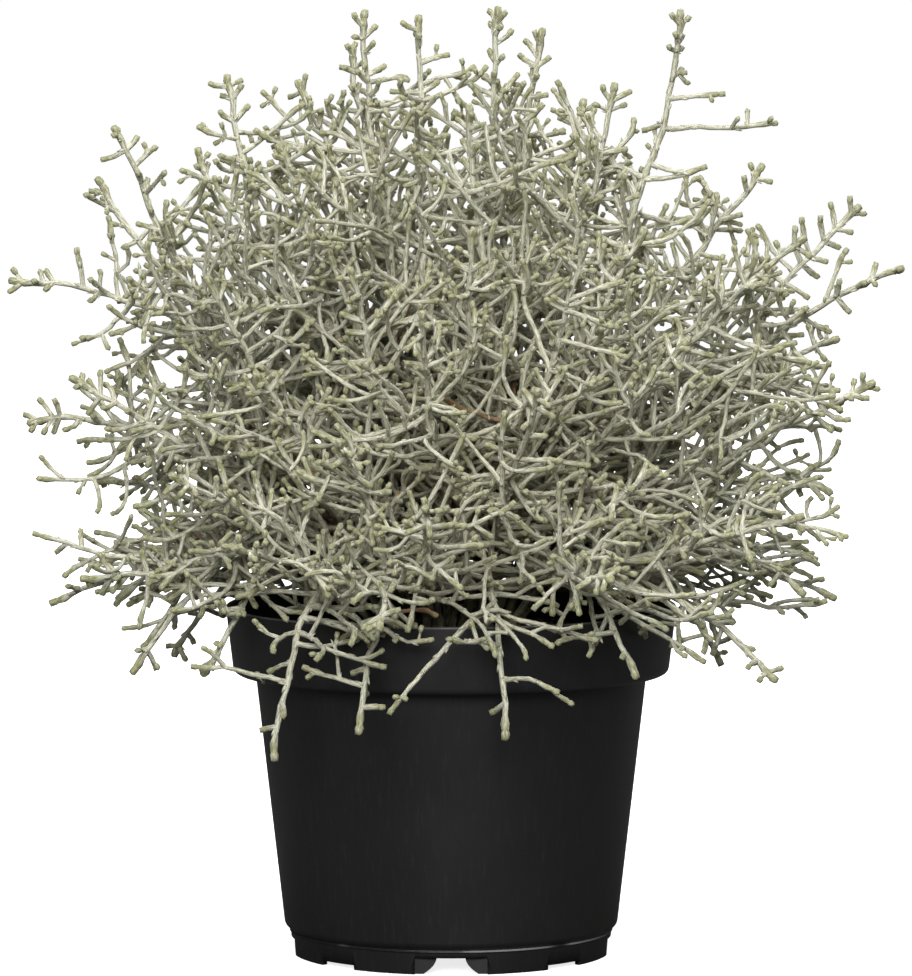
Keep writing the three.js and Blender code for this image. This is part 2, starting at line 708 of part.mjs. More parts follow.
const bush = new THREE.Group();
bush.add(named('pot', toGeometry(makePot()), BLACK_PLASTIC));
bush.add(named('soil', toGeometry(makeSoil()), DARK_COMPOST));

const tips = allTips();
const sprays = shareOut(tips).filter((spray) => spray.tips.length > 0);
sprays.forEach((spray, i) => growSpray(spray, drawer(31 + i)));
sprays.forEach((spray, i) => {
  growSprayBranches(spray, tips, drawer(101 + i));
  const name = `spray_${String(i + 1).padStart(2, '0')}`;
  bush.add(named(name, sprayGeometry(spray), SILVER_FELT));
});

export default bush;
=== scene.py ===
# %% [markdown]
# # A potted cushion bush
# A round bush of thin, forking, silver-felted stems fills a black nursery pot and hangs a little over
# its rim. The part's solids are loaded first and stay where they are: they are the frame that every
# finer piece is built on. Working this way round means that nothing has to be fitted afterwards.

# %% The frame and its size
import itertools
import json
import math

import bmesh
import bpy
import numpy as np
from mathutils import Euler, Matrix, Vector

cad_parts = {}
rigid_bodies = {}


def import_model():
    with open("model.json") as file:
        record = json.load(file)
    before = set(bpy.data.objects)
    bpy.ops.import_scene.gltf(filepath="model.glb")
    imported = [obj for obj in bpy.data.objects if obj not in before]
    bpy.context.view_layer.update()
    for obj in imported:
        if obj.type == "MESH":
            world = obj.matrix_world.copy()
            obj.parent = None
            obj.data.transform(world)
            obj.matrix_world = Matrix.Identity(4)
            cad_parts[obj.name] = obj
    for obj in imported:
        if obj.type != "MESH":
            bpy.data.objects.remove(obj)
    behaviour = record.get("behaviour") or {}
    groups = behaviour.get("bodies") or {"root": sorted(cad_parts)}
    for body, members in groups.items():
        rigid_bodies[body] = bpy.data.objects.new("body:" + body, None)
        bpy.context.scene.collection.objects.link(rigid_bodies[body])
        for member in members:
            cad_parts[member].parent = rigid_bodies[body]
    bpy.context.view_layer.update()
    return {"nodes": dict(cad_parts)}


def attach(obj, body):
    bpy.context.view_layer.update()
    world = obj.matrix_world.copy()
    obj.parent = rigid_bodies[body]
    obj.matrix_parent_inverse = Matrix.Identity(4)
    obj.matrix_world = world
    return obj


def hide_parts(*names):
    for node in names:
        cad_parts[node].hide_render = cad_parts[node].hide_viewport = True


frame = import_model()
MM = 0.001
print("nodes:", len(frame["nodes"]))

# %% [markdown]
# ## Small helpers for node trees
# Materials and Geometry Nodes are both trees of nodes with sockets. One helper puts a node in and fills
# its sockets, with a value or with a link, and the others are built on it for what comes up again and
# again. A last one runs a finished geometry tree on a starting mesh and keeps a plain mesh.

# %% Helpers: nodes and sockets
def add(tree, kind, sockets=None, **settings):
    """Puts a node into a tree. Sockets are named or numbered, and take a value or another socket."""
    made = tree.nodes.new(kind)
    for name, value in settings.items():
        setattr(made, name, value)
    for name, value in (sockets or {}).items():
        if isinstance(value, bpy.types.NodeSocket):
            tree.links.new(value, made.inputs[name])
        else:
            made.inputs[name].default_value = value
    return made


def get(tree, kind, sockets=None, which=0, **settings):
    """The same, for a node of which one output is wanted."""
    return add(tree, kind, sockets, **settings).outputs[which]


def calc(tree, operation, *values):
    return get(tree, "ShaderNodeMath", dict(enumerate(values)), operation=operation)


def vector_calc(tree, operation, *values):
    return get(tree, "ShaderNodeVectorMath", dict(enumerate(values)), operation=operation)


def scaled(tree, vector, size):
    return get(tree, "ShaderNodeVectorMath", {0: vector, "Scale": size}, operation="SCALE")


def parts_of(tree, vector):
    return add(tree, "ShaderNodeSeparateXYZ", {0: vector}).outputs


def noise(tree, vector, scale, detail=2.0, roughness=0.5):
    sockets = {"Vector": vector, "Scale": scale, "Detail": detail, "Roughness": roughness}
    return get(tree, "ShaderNodeTexNoise", sockets, "Fac")


# %% Helpers: geometry
def named(tree, name, kind="FLOAT"):
    """A named attribute inside a geometry tree."""
    return get(tree, "GeometryNodeInputNamedAttribute", {"Name": name}, data_type=kind)


def store(tree, geometry, name, value, kind="FLOAT"):
    sockets = {"Geometry": geometry, "Name": name, "Value": value}
    return get(tree, "GeometryNodeStoreNamedAttribute", sockets, data_type=kind, domain="POINT")


def moved(tree, geometry, **how):
    return get(tree, "GeometryNodeSetPosition", {"Geometry": geometry, **how})


def is_over(tree, value, least):
    settings = {"data_type": "FLOAT", "operation": "GREATER_THAN"}
    return get(tree, "FunctionNodeCompare", {0: value, 1: least}, **settings)


def random_between(tree, low, high, seed):
    return get(tree, "FunctionNodeRandomValue", {2: low, 3: high, "Seed": seed}, 1, data_type="FLOAT")


def turn_to(tree, up, side):
    """The rotation that takes a shape's Z to one way and its X towards another."""
    sockets = {"Primary Axis": up, "Secondary Axis": side}
    return get(tree, "FunctionNodeAxesToRotation", sockets, primary_axis="Z", secondary_axis="X")


def shape_of(tree, given_object):
    return get(tree, "GeometryNodeObjectInfo", {"Object": given_object}, "Geometry")


def placed(tree, points, shape, turn, **more):
    """Copies of a shape on points."""
    sockets = {"Points": points, "Instance": shape, "Rotation": turn, **more}
    return get(tree, "GeometryNodeInstanceOnPoints", sockets)


def joined(tree, *parts):
    together = add(tree, "GeometryNodeJoinGeometry")
    for part in parts:
        tree.links.new(part, together.inputs[0])
    return together.outputs[0]


# %% Helpers: whole trees, and meshes
def new_tree(name, inputs):
    """A geometry tree with a mesh in, a mesh out and named inputs."""
    tree = bpy.data.node_groups.new(name, "GeometryNodeTree")
    sockets = tree.interface
    sockets.new_socket("Start", in_out="INPUT", socket_type="NodeSocketGeometry")
    for label, kind in inputs.items():
        sockets.new_socket(label, in_out="INPUT", socket_type="NodeSocket" + kind)
    sockets.new_socket("Result", in_out="OUTPUT", socket_type="NodeSocketGeometry")
    return tree, tree.nodes.new("NodeGroupInput").outputs


def end_tree(tree, geometry, material):
    """Every tree ends the same way: real geometry, smooth shading and a material."""
    real = get(tree, "GeometryNodeRealizeInstances", {"Geometry": geometry})
    smooth = get(tree, "GeometryNodeSetShadeSmooth", {"Geometry": real})
    dressed = get(tree, "GeometryNodeSetMaterial", {"Geometry": smooth, "Material": material})
    add(tree, "NodeGroupOutput", {0: dressed})


def run_tree(start, tree, values, name):
    """Runs the tree on the starting object and keeps what comes out as a plain mesh."""
    rule = start.modifiers.new("rule", "NODES")
    rule.node_group = tree
    for item in tree.interface.items_tree:
        if item.in_out == "INPUT" and item.name in values:
            rule[item.identifier] = values[item.name]
    graph = bpy.context.evaluated_depsgraph_get()
    evaluated = start.evaluated_get(graph)
    mesh = bpy.data.meshes.new_from_object(evaluated, preserve_all_data_layers=True, depsgraph=graph)
    start.modifiers.remove(rule)
    bpy.data.objects.remove(start)
    return new_object(name, mesh)


def new_object(name, mesh):
    mesh.name = name
    piece = bpy.data.objects.new(name, mesh)
    bpy.context.collection.objects.link(piece)
    return piece


def keep_mesh(name, whole):
    """Turns every face outwards and keeps what was built as an object."""
    bmesh.ops.recalc_face_normals(whole, faces=whole.faces)
    mesh = bpy.data.meshes.new(name)
    whole.to_mesh(mesh)
    whole.free()
    return new_object(name, mesh)


def triangles(piece):
    return sum(len(face.vertices) - 2 for face in piece.data.polygons)


print("helpers are ready")

# %% [markdown]
# ## How the bush grows
# On the real plant a handful of thin stems leave the compost close together, fork low down, and carry
# pairs of side branches all the way up. It could be drawn by hand, stem by stem, or scattered at random.
# Here it follows the same rule as the solids: leaders rise to chosen tips, bend clear of each other, and
# side branches leave them in loose pairs. The same seeds give the same stems, so the fine stems lie
# where the plain ones are. Lengths in this part are in millimetres.

# %% Sizes of the bush, as the solids have them
POT_HEIGHT = 93.0
RIM_RADIUS = 60.0
RIM_THICKNESS = 4
BODY_LOW_RADIUS = 44.4
SOIL_LEVEL = 84.0
SOIL_RIPPLE = 0.35
CLEARANCE = 0.3
SPRAY_COUNT = 20
FEET_RADIUS = 21.0
ROOT_DEPTH = 8.0
HOLE_RADIUS = 2.8
COLLAR_HEIGHT = 2.0
LEADER_GIRTH = 1.0
FOOT_GIRTH = 1.6
TAPER_LENGTH = 150.0
CLUB_GIRTH = 1.15
CORNER_REACH = 1.2
STEM_GAP = 0.45
LEADERS_PER_SPRAY = 5
STRAY_LIMIT = 12.0
LEAN_SHARE = 1.15
START_LEAN = (0.2, 0.7)
FIRST_FORK = 0.13
FORK_STEP = 0.07
FORK_SHIFTS = (0, 0.03, -0.03)
FORK_STUB = 8.0
FORK_COLLAR = 1.7
STATION_ROOM = 2.2 * FORK_COLLAR
STATION_LOWEST = 1.5 * FORK_STUB
START_PULL = 0.3
TIP_PULL = 0.36
ARCH_SHARE = 0.62
ARCH_HEIGHT = 14.0
MOST_BENDS = 160
BEND_STEP = 0.012
TEST_STRETCHES = 10
GOLDEN_TURN = math.pi * (3 - math.sqrt(5))
DOME_CENTRE = 92.0
DOME_REACH = 112.0
DOME_RISE = 140.0
DOME_TIPS = 60
DOME_LOWEST = -0.06
DOME_DEPTH = 0.16
DOME_TURN = 0.6
DOME_PITCH = 80
PITCH_SPREAD = 8
PITCH_DROP = 6
TIP_SPACING = 30.0
BRANCH_STARTS = (8, 19, 31, 45, 62, 82, 105)
BRANCH_OPEN = (0.95, 0.55)
BRANCH_SHARE = (0.1, 0.6)
BRANCH_VEER = 0.45
BRANCH_BASE = 3.0
BRANCH_SHORTEST = 4.5
BRANCH_LONGEST = 40.0
PAIR_CHANCE = 0.8
DROOP_PAIR_CHANCE = 0.25
BRANCH_BOW = 0.14
PAIR_SHIFT = 3
TWO_STEP_BRANCH = 19.0
MOST_TRIES = 12
RETRY_SHRINK = 0.17
UNTESTED_SHARE = 0.3
UP = np.array([0.0, 0.0, 1.0])
ODD_WAY = (0.31, 0.78, 0.54)

# %% Seeds of the draws
TIP_SEED = 11
LEADER_SEED = 31
BRANCH_SEED = 101
DEEP_SEED = 3000
FORK_SEED = 6000
TWIG_SEED = 9000

# %% Chosen tips and branches
# Tips that stand out of the dome: x, y, z, and how many degrees the tip points above level.
PROUD_TIPS = [
    (12, 2, 251, 88), (-9, -8, 249, 84), (24, 22, 245, 80), (5, -26, 226, 70), (-23, 14, 250, 88),
    (-27, 34, 241, 84), (-41, 20, 231, 52), (-59, 0, 234, 84), (-68, 18, 214, 76), (-45, -24, 216, 66),
    (36, 42, 226, 72), (43, -6, 231, 80), (61, 0, 251, 86), (84, 16, 209, 48), (-89, -4, 220, 64),
    (-95, 22, 205, 56), (109, 6, 199, 42), (119.5, 0, 182, 16), (92, -28, 192, 40), (105, 30, 162, 14),
    (111, -22, 154, 28), (101, 4, 122, -42), (92, -34, 99, -30), (103, 14, 93, 2), (84, -44, 78, -14),
    (-117, 0, 179, -2), (-99, -28, 155, 30), (-113, 6, 141, -12), (-95, 18, 124, -4), (-97, -30, 103, 2),
    (-83, -36, 78, -34), (-64, -52, 80, -26), (-45, -69, 60, -76), (-24, -76, 68, -48), (14, -74, 66, -62),
    (47, -63, 80, -30), (-6, -109, 128, 22), (8, 109, 132, 24), (-34, 72, 68, -52), (26, 76, 62, -62),
    (74, 46, 72, -36), (-76, 44, 74, -34), (64, 62, 96, -14), (-8, 94, 84, -24),
]
# Side branches that stand out too: the tip's number, how far below it they leave, and their ends.
PROUD_BRANCHES = [
    (12, 31, 87, 4, 219), (12, 24, 71, -6, 229), (12, 30, 51, 6, 219), (7, 16, -47, 6, 218),
    (7, 18, -67, -4, 220), (14, 12, -78, 4, 214), (15, 10, -98, 12, 201), (1, 12, -1, -8, 239),
    (17, 22, 105, 2, 187), (25, 26, -96, -8, 180), (27, 24, -97, 14, 152), (6, 20, -51, 12, 228),
    (34, 36, -17, -90, 76), (34, 24, -1, -81, 93), (34, 16, 27, -83, 80), (35, 13, 26, -68, 91),
    (33, 12, -38, -68, 84), (24, 26, 66, -50, 85), (32, 30, -16, -75, 86), (32, 38, -20, -71, 92),
    (32, 20, -66, -55, 84), (35, 24, 66, -54, 84), (69, 30, -72, -33, 96), (74, 24, 54, -62, 93),
    (71, 44, 66, -58, 88),
]
print("chosen tips:", len(PROUD_TIPS), "chosen branches:", len(PROUD_BRANCHES))


# %% Drawing numbers, and the tips that the leaders rise to
def drawer(seed):
    """Draws numbers between 0 and 1, always the same ones for the same seed."""
    most = 2**31 - 1
    state = (seed * 7919 + 104729) % most

    def draw():
        nonlocal state
        state = state * 16807 % most
        return state / most

    return draw


def spread(amounts, share):
    """A least amount, and a share of what may come on top of it."""
    least, more = amounts
    return least + more * share


def unit(way):
    return way / math.sqrt(way @ way)


def clamp(value, low, high):
    return min(high, max(low, value))


def spray_foot(index):
    """Where a spray stands: a sunflower pattern round the middle of the compost."""
    radius = FEET_RADIUS * math.sqrt((index + 0.5) / SPRAY_COUNT)
    turn = index * GOLDEN_TURN
    return np.array([radius * math.cos(turn), radius * math.sin(turn), SOIL_LEVEL])


def all_tips():
    """The chosen tips, and those of the dome that keep clear of them."""
    tips = [{"place": np.array(row[:3], float), "pitch": row[3]} for row in PROUD_TIPS]
    draw = drawer(TIP_SEED)
    for i in range(DOME_TIPS):
        rise = 1 - (1 - DOME_LOWEST) * (i + 0.5) / DOME_TIPS
        turn = i * GOLDEN_TURN + DOME_TURN
        reach = 1 - DOME_DEPTH * draw()
        out = DOME_REACH * reach * math.sqrt(1 - rise * rise)
        place = np.array([out * math.cos(turn), out * math.sin(turn), DOME_CENTRE + DOME_RISE * reach * rise])
        pitch = DOME_PITCH * rise + PITCH_SPREAD * draw() - PITCH_DROP
        if all(np.linalg.norm(tip["place"] - place) > TIP_SPACING for tip in tips):
            tips.append({"place": place, "pitch": pitch})
    return tips


def lean_of(place):
    """How far a tip leans from above the pot's middle, 0, to level with the compost, 1."""
    return math.atan2(math.hypot(place[0], place[1]), max(place[2] - SOIL_LEVEL, 1)) / (math.pi / 2)


def share_out(tips):
    """Gives each tip to the spray whose foot lies best under it."""
    sprays = [{"foot": spray_foot(i), "tips": [], "leaders": []} for i in range(SPRAY_COUNT)]
    for tip in tips:
        flat = tip["place"] * (1, 1, 0)
        wished = unit(flat) * FEET_RADIUS * min(1, LEAN_SHARE * lean_of(tip["place"]))
        wished[2] = SOIL_LEVEL
        free = [spray for spray in sprays if len(spray["tips"]) < LEADERS_PER_SPRAY]
        free.sort(key=lambda spray: np.linalg.norm(spray["foot"] - wished))
        if free and np.linalg.norm(free[0]["foot"] - wished) < STRAY_LIMIT:
            free[0]["tips"].append(tip)
    return [spray for spray in sprays if spray["tips"]]


tips = all_tips()
sprays = share_out(tips)
for number, spray in enumerate(sprays):
    spray["number"] = number
print("tips:", len(tips), "sprays:", len(sprays))


# %% [markdown]
# ### Keeping stems apart
# Stems in a real bush lean on each other but never pass through one another. Testing every stem against
# every other one in plain Python would be slow, so all stretches grown so far are kept in arrays, and
# a new stretch is measured against all of them in one go.

# %% All stretches of stem in arrays, and the test for room
MOST_STRETCHES = 40000
ROOM_SHARES = np.array([0.25, 0.5, 0.75, 1.0])[:, None, None]
TOUCH_SHARES = np.linspace(0.1, 1, 14)[:, None]


class Thicket:
    def __init__(self):
        self.starts, self.ends, self.middles, self.owners = np.zeros((4, MOST_STRETCHES, 3))
        self.reaches, self.spans, self.stations = np.zeros((3, MOST_STRETCHES))
        self.count = 0

    def grow(self, points, girth, spray, stem, parent=-1, station=-1.0):
        """Adds the stretches of a stem. A parent and a station say what it grew out of, and where."""
        for a, b in zip(points[:-1], points[1:]):
            at = self.count
            self.starts[at] = a
            self.ends[at] = b
            self.middles[at] = (a + b) / 2
            self.spans[at] = np.linalg.norm(b - a) / 2
            self.reaches[at] = CORNER_REACH * girth
            self.owners[at] = (spray, stem, parent)
            self.stations[at] = station
            self.count += 1

    def neighbours(self, middle, half, room, not_spray=-1, parent=-1, station=-1.0):
        """The stretches that may come close to a run, without its parent and its twins on it."""
        n = self.count
        far = np.linalg.norm(self.middles[:n] - middle, axis=1)
        near = np.nonzero(far < half + self.spans[:n] + self.reaches[:n] + room)[0]
        spray_of, stem_of, parent_of = self.owners[near].T
        counted = (spray_of != not_spray) & (stem_of != parent)
        counted &= (parent_of != parent) | (self.stations[near] != station) | (parent < 0)
        return near[counted]

    def has_room(self, points, girth, foot, gap=STEM_GAP, **kin):
        """True where a run of points keeps clear of the pot, the compost and the other stems."""
        reach = CORNER_REACH * girth
        points = np.asarray(points)
        spots = (points[:-1] + ROOM_SHARES * (points[1:] - points[:-1])).reshape(-1, 3)
        if not np.all(clear_of_pot(spots, reach, foot)):
            return False
        for a, b in zip(points[:-1], points[1:]):
            near = self.neighbours((a + b) / 2, np.linalg.norm(b - a) / 2, reach + gap, **kin)
            room = reach + self.reaches[near] + gap
            if np.any(gaps_between(a, b, self.starts[near], self.ends[near]) < room):
                return False
        return True

    def first_touch(self, points, girth, foot, gap, **kin):
        """The share of a run of points after which it touches another stem: 1 if none, 0 at the pot."""
        reach = CORNER_REACH * girth
        stretches = list(zip(points[:-1], points[1:]))
        spots = np.vstack([a + (b - a) * TOUCH_SHARES for a, b in stretches])
        if not np.all(clear_of_pot(spots, reach, foot)):
            return 0.0
        half = sum(np.linalg.norm(b - a) for a, b in stretches) / 2
        near = self.neighbours(points[len(points) // 2], half, reach + gap, **kin)
        if not len(near):
            return 1.0
        starts, ways = self.starts[near], self.ends[near] - self.starts[near]
        offsets = spots[:, None, :] - starts[None]
        shares = np.clip((offsets * ways).sum(2) / (ways * ways).sum(1), 0, 1)
        gaps = np.linalg.norm(offsets - shares[:, :, None] * ways, axis=2) - reach - self.reaches[near] - gap
        touching = np.nonzero(gaps.min(axis=1) < 0)[0]
        return (touching[0] + 1) / len(spots) if len(touching) else 1.0


def clear_of_pot(spots, reach, foot):
    """True for each spot above the compost and the rim, outside the pot, or in the spray's own hole."""
    flat = np.hypot(spots[:, 0], spots[:, 1])
    outside = flat - reach > RIM_RADIUS + 2 * CLEARANCE
    wall = np.clip((flat + reach - BODY_LOW_RADIUS) / (RIM_RADIUS - BODY_LOW_RADIUS - RIM_THICKNESS), 0, 1)
    floor = SOIL_LEVEL + 3 * SOIL_RIPPLE + (POT_HEIGHT - SOIL_LEVEL) * wall
    in_hole = np.hypot(spots[:, 0] - foot[0], spots[:, 1] - foot[1]) < HOLE_RADIUS / 2
    return outside | (spots[:, 2] - reach > floor + CLEARANCE) | in_hole


def gaps_between(a, b, starts, ends):
    """Least distances between one straight stretch and many others."""
    u = b - a
    v = ends - starts
    w = a - starts
    uu = u @ u
    uv = v @ u
    vv = (v * v).sum(1)
    uw = w @ u
    vw = (v * w).sum(1)
    below = uu * vv - uv * uv
    slanted = below > 1e-9
    s = np.where(slanted, np.clip((uv * vw - vv * uw) / np.where(slanted, below, 1), 0, 1), 0)
    t = np.clip((uv * s + vw) / vv, 0, 1)
    s = np.clip((uv * t - uw) / uu, 0, 1)
    return np.linalg.norm(w + s[:, None] * u - t[:, None] * v, axis=1)


thicket = Thicket()
print("room for", len(thicket.spans), "stretches of stem")


# %% [markdown]
# ### Leaders
# A leader is one smooth curve with four control points: it starts upwards, leans out, and ends the way
# its tip points. If the first try runs into another stem, its middle is swung aside a little further
# each time. The first leader of a spray stands in the compost, and the others fork low from it.

# %% A curve measured along its length, and the leaders
class Bend:
    """A cubic curve that is read by shares of its own length."""

    def __init__(self, *pins):
        self.pins = np.array(pins)
        self.shares = np.linspace(0, 1, 201)
        steps = np.linalg.norm(np.diff(self.at(self.shares), axis=0), axis=1)
        self.lengths = np.concatenate([[0], np.cumsum(steps)])
        self.length = self.lengths[-1]

    def at(self, share):
        t = np.atleast_1d(share)[:, None]
        k = 1 - t
        a, b, c, d = self.pins
        return k**3 * a + 3 * k * k * t * b + 3 * k * t * t * c + t**3 * d

    def inner(self, part):
        return np.interp(part * self.length, self.lengths, self.shares)

    def spot(self, part):
        return self.at(self.inner(part))[0]

    def way(self, part):
        share = float(self.inner(part))
        low, high = self.at([max(share - 1e-4, 0), min(share + 1e-4, 1)])
        return unit(high - low)


def leader_girth(from_tip):
    return LEADER_GIRTH + (FOOT_GIRTH - LEADER_GIRTH) * clamp(from_tip / TAPER_LENGTH, 0, 1)


def grow_leader(spray, tip, start, start_way):
    """A leader from a start to a tip, bent as little as it takes to find room; None if there is none."""
    place = tip["place"]
    way = unit(np.array([place[0] - spray["foot"][0], place[1] - spray["foot"][1], 0.0]))
    pitch = math.radians(tip["pitch"])
    tip_way = way * math.cos(pitch) + UP * math.sin(pitch)
    span = np.linalg.norm(place - start)
    arch = ARCH_SHARE * max(0, POT_HEIGHT + ARCH_HEIGHT - place[2])
    across = np.cross(UP, way)
    for bend in range(MOST_BENDS):
        size = BEND_STEP * math.sqrt(bend) * span
        turn = bend * GOLDEN_TURN
        shift = across * size * math.cos(turn) + UP * size * math.sin(turn)
        first = start + start_way * START_PULL * span + UP * arch + shift
        second = place - tip_way * TIP_PULL * span + UP * arch - shift
        curve = Bend(start, first, second, place)
        points = [curve.spot(k / TEST_STRETCHES) for k in range(TEST_STRETCHES + 1)]
        outer = [curve.spot(FORK_STUB / curve.length), *points[1:]]
        girth = leader_girth(curve.length / 2)
        if not thicket.has_room([start, outer[0]], girth, spray["foot"], not_spray=spray["number"]):
            continue
        if not thicket.has_room(outer, girth, spray["foot"]):
            continue
        number = next(stem_numbers)
        thicket.grow(points, girth, spray["number"], number)
        return {"curve": curve, "span": curve.length, "tip": tip, "number": number, "stations": []}
    return None


def turned(way, axis, angle):
    cosine, sine = math.cos(angle), math.sin(angle)
    return way * cosine + np.cross(axis, way) * sine + axis * (axis @ way) * (1 - cosine)


def side_of(ahead):
    """A way square to the way ahead, always the same one."""
    return unit(np.cross(ODD_WAY, ahead))


def frame_at(leader, part):
    """The place on a leader, the way ahead and two ways across it."""
    ahead = leader["curve"].way(part)
    side = turned(side_of(ahead), ahead, leader["twist"])
    return leader["curve"].spot(part), ahead, side, np.cross(ahead, side)


def side_way(side, other, face):
    angle = (face + 0.5) * math.pi / 2
    return side * math.cos(angle) + other * math.sin(angle)


def is_station_free(leader, from_tip):
    apart = all(abs(other["from_tip"] - from_tip) > STATION_ROOM for other in leader["stations"])
    return apart and from_tip < leader["span"] - STATION_LOWEST


def station_at(leader, from_tip):
    for station in leader["stations"]:
        if station["from_tip"] == from_tip:
            return station
    leader["stations"].append({"from_tip": from_tip, "faces": []})
    return leader["stations"][-1]


def fork_leader(spray, tip, wished_fork):
    """A leader that forks from the spray's first one, on one of the three sides that face its tip."""
    main = spray["leaders"][0]
    for shift in FORK_SHIFTS:
        fork = wished_fork + shift
        spot, ahead, side, other = frame_at(main, fork)
        aim = unit(tip["place"] - spot)
        faces = sorted(range(4), key=lambda face: -(side_way(side, other, face) @ aim))
        if not is_station_free(main, main["span"] * (1 - fork)):
            continue
        for face in faces[:3]:
            start_way = unit(ahead + side_way(side, other, face))
            leader = grow_leader(spray, tip, spot, start_way)
            if leader is None:
                continue
            station_at(main, main["span"] * (1 - fork))["faces"].append(face)
            leader["from"] = main
            return leader
    return None


def grow_spray(spray, draw):
    for tip in spray["tips"]:
        count = len(spray["leaders"])
        if count:
            leader = fork_leader(spray, tip, FIRST_FORK + FORK_STEP * (count - 1))
        else:
            collar = spray["foot"] + UP * COLLAR_HEIGHT
            lean = spread(START_LEAN, lean_of(tip["place"]))
            leader = grow_leader(spray, tip, collar, unit(UP + unit(tip["place"] * (1, 1, 0)) * lean))
        if leader is None:
            continue
        leader["twist"] = 2 * math.pi * draw()
        spray["leaders"].append(leader)


stem_numbers = itertools.count(1)
for spray in sprays:
    grow_spray(spray, drawer(LEADER_SEED + spray["number"]))
print("leaders:", sum(len(spray["leaders"]) for spray in sprays))


# %% [markdown]
# ### Side branches
# Side branches leave a leader in loose pairs, short ones near its tip and longer ones further down. The
# branches that the solids have come first, by the same draws, so that each fine branch lies in the
# place of a plain one.

# %% The branches that the solids have
def try_branch(spray, leader, from_tip, face, aim, reach):
    """Adds a branch if there is room for it, and says whether it did."""
    part = 1 - from_tip / leader["span"]
    root = leader["curve"].spot(part)
    points = [root, root + aim * reach]
    if reach > TWO_STEP_BRANCH:
        bowed = unit(aim + leader["curve"].way(part) * BRANCH_BOW)
        points[1] = root + aim * (reach / 2)
        points.append(points[1] + bowed * (reach / 2))
    outer = [root + (points[1] - root) * UNTESTED_SHARE, *points[1:]]
    kin = {"parent": leader["number"], "station": from_tip}
    if not thicket.has_room(outer, CLUB_GIRTH, spray["foot"], **kin):
        return False
    number = next(stem_numbers)
    thicket.grow(outer, CLUB_GIRTH, spray["number"], number, **kin)
    station_at(leader, from_tip)["faces"].append(face)
    side_stems.append({"spray": spray, "points": points, "number": number, "level": 1, "from": leader,
                       "at": from_tip})
    return True


def grow_proud_branch(spray, leader, from_tip, end):
    spot, ahead, side, other = frame_at(leader, 1 - from_tip / leader["span"])
    aim = end - spot
    faces = sorted(range(4), key=lambda face: -(side_way(side, other, face) @ aim))
    taken = station_at(leader, from_tip)["faces"]
    face = next(choice for choice in faces if choice not in taken)
    try_branch(spray, leader, from_tip, face, unit(aim), np.linalg.norm(aim))


def grow_branches(spray, leader, draw):
    """Pairs of branches down a leader. All draws of a pair are made before its first test for room."""
    for start in BRANCH_STARTS:
        from_tip = start + PAIR_SHIFT * draw() - PAIR_SHIFT / 2
        first = math.floor(4 * draw())
        plans = []
        for turn in (0, 2):
            wide = spread(BRANCH_OPEN, draw())
            share = spread(BRANCH_SHARE, draw() ** 2)
            plans.append((turn, wide, share, BRANCH_VEER * (2 * draw() - 1)))
        pair_chance = DROOP_PAIR_CHANCE if leader["tip"]["pitch"] < 0 else PAIR_CHANCE
        if draw() > pair_chance:
            plans.pop()
        if not is_station_free(leader, from_tip):
            continue
        spot, ahead, side, other = frame_at(leader, 1 - from_tip / leader["span"])
        taken = []
        for turn, wide, share, veer in plans:
            length = clamp(BRANCH_BASE + from_tip * share, BRANCH_SHORTEST, BRANCH_LONGEST)
            for attempt in range(MOST_TRIES):
                face = (first + turn + attempt) % 4
                reach = length * (1 - RETRY_SHRINK * (attempt // 4))
                out = turned(side_way(side, other, face), ahead, veer)
                aim = ahead * math.cos(wide) + out * math.sin(wide)
                if face in taken or not try_branch(spray, leader, from_tip, face, aim, reach):
                    continue
                taken.append(face)
                break


side_stems = []
for spray in sprays:
    draw = drawer(BRANCH_SEED + spray["number"])
    for leader in spray["leaders"]:
        for number, from_tip, *end in PROUD_BRANCHES:
            if leader["tip"] is tips[number]:
                grow_proud_branch(spray, leader, from_tip, np.array(end, float))
        grow_branches(spray, leader, draw)
print("side branches as in the solids:", len(side_stems))

# %% [markdown]
# ### The finest growth
# The solids stop at one order of side branches, because every stem there costs faces. The real bush
# has several times as much stem. Longer branches and forks deep in the tangle grow until they lean on
# another stem and end against it, which knits the bush together and leaves few loose ends inside. Short
# clubbed twigs sit in pairs near every free tip. All are drawn with seeds of their own, after the
# others, and each is tested for room as well.

# %% Stems as runs of points, and the spots on them
RUN_STEP = 2.4
LEADER_STEP = 3
FOOT_STEP = 2
INNER_FROM = 0.72
INNER_DEPTH = 0.5


def measure(points):
    """A run of points with the distance of each from the last one."""
    steps = np.linalg.norm(np.diff(points, axis=0), axis=1)
    run = np.concatenate([[0], np.cumsum(steps)])
    return {"points": points, "run": run, "length": run[-1]}


def bowed_run(points):
    """A smooth run through the two or three points of a branch."""
    points = np.asarray(points)
    if len(points) == 3:
        middle = 2 * points[1] - (points[0] + points[2]) / 2
    else:
        middle = (points[0] + points[1]) / 2
    length = np.linalg.norm(points[-1] - points[0])
    t = np.linspace(0, 1, max(3, math.ceil(length / RUN_STEP) + 1))[:, None]
    return (1 - t) ** 2 * points[0] + 2 * (1 - t) * t * middle + t * t * points[-1]


def stem_spot(stem, from_tip):
    """The place on a stem and the way ahead there."""
    at = stem["length"] - from_tip
    points, run = stem["points"], stem["run"]
    k = int(clamp(np.searchsorted(run, at) - 1, 0, len(points) - 2))
    step = points[k + 1] - points[k]
    return points[k] + step * ((at - run[k]) / (run[k + 1] - run[k])), unit(step)


def shell_share(points):
    """How far out of the bush's middle points are: 1 on the dome that the tips form."""
    out = np.hypot(points[..., 0], points[..., 1]) / DOME_REACH
    return np.hypot(out, np.maximum(points[..., 2] - DOME_CENTRE, 0) / DOME_RISE)


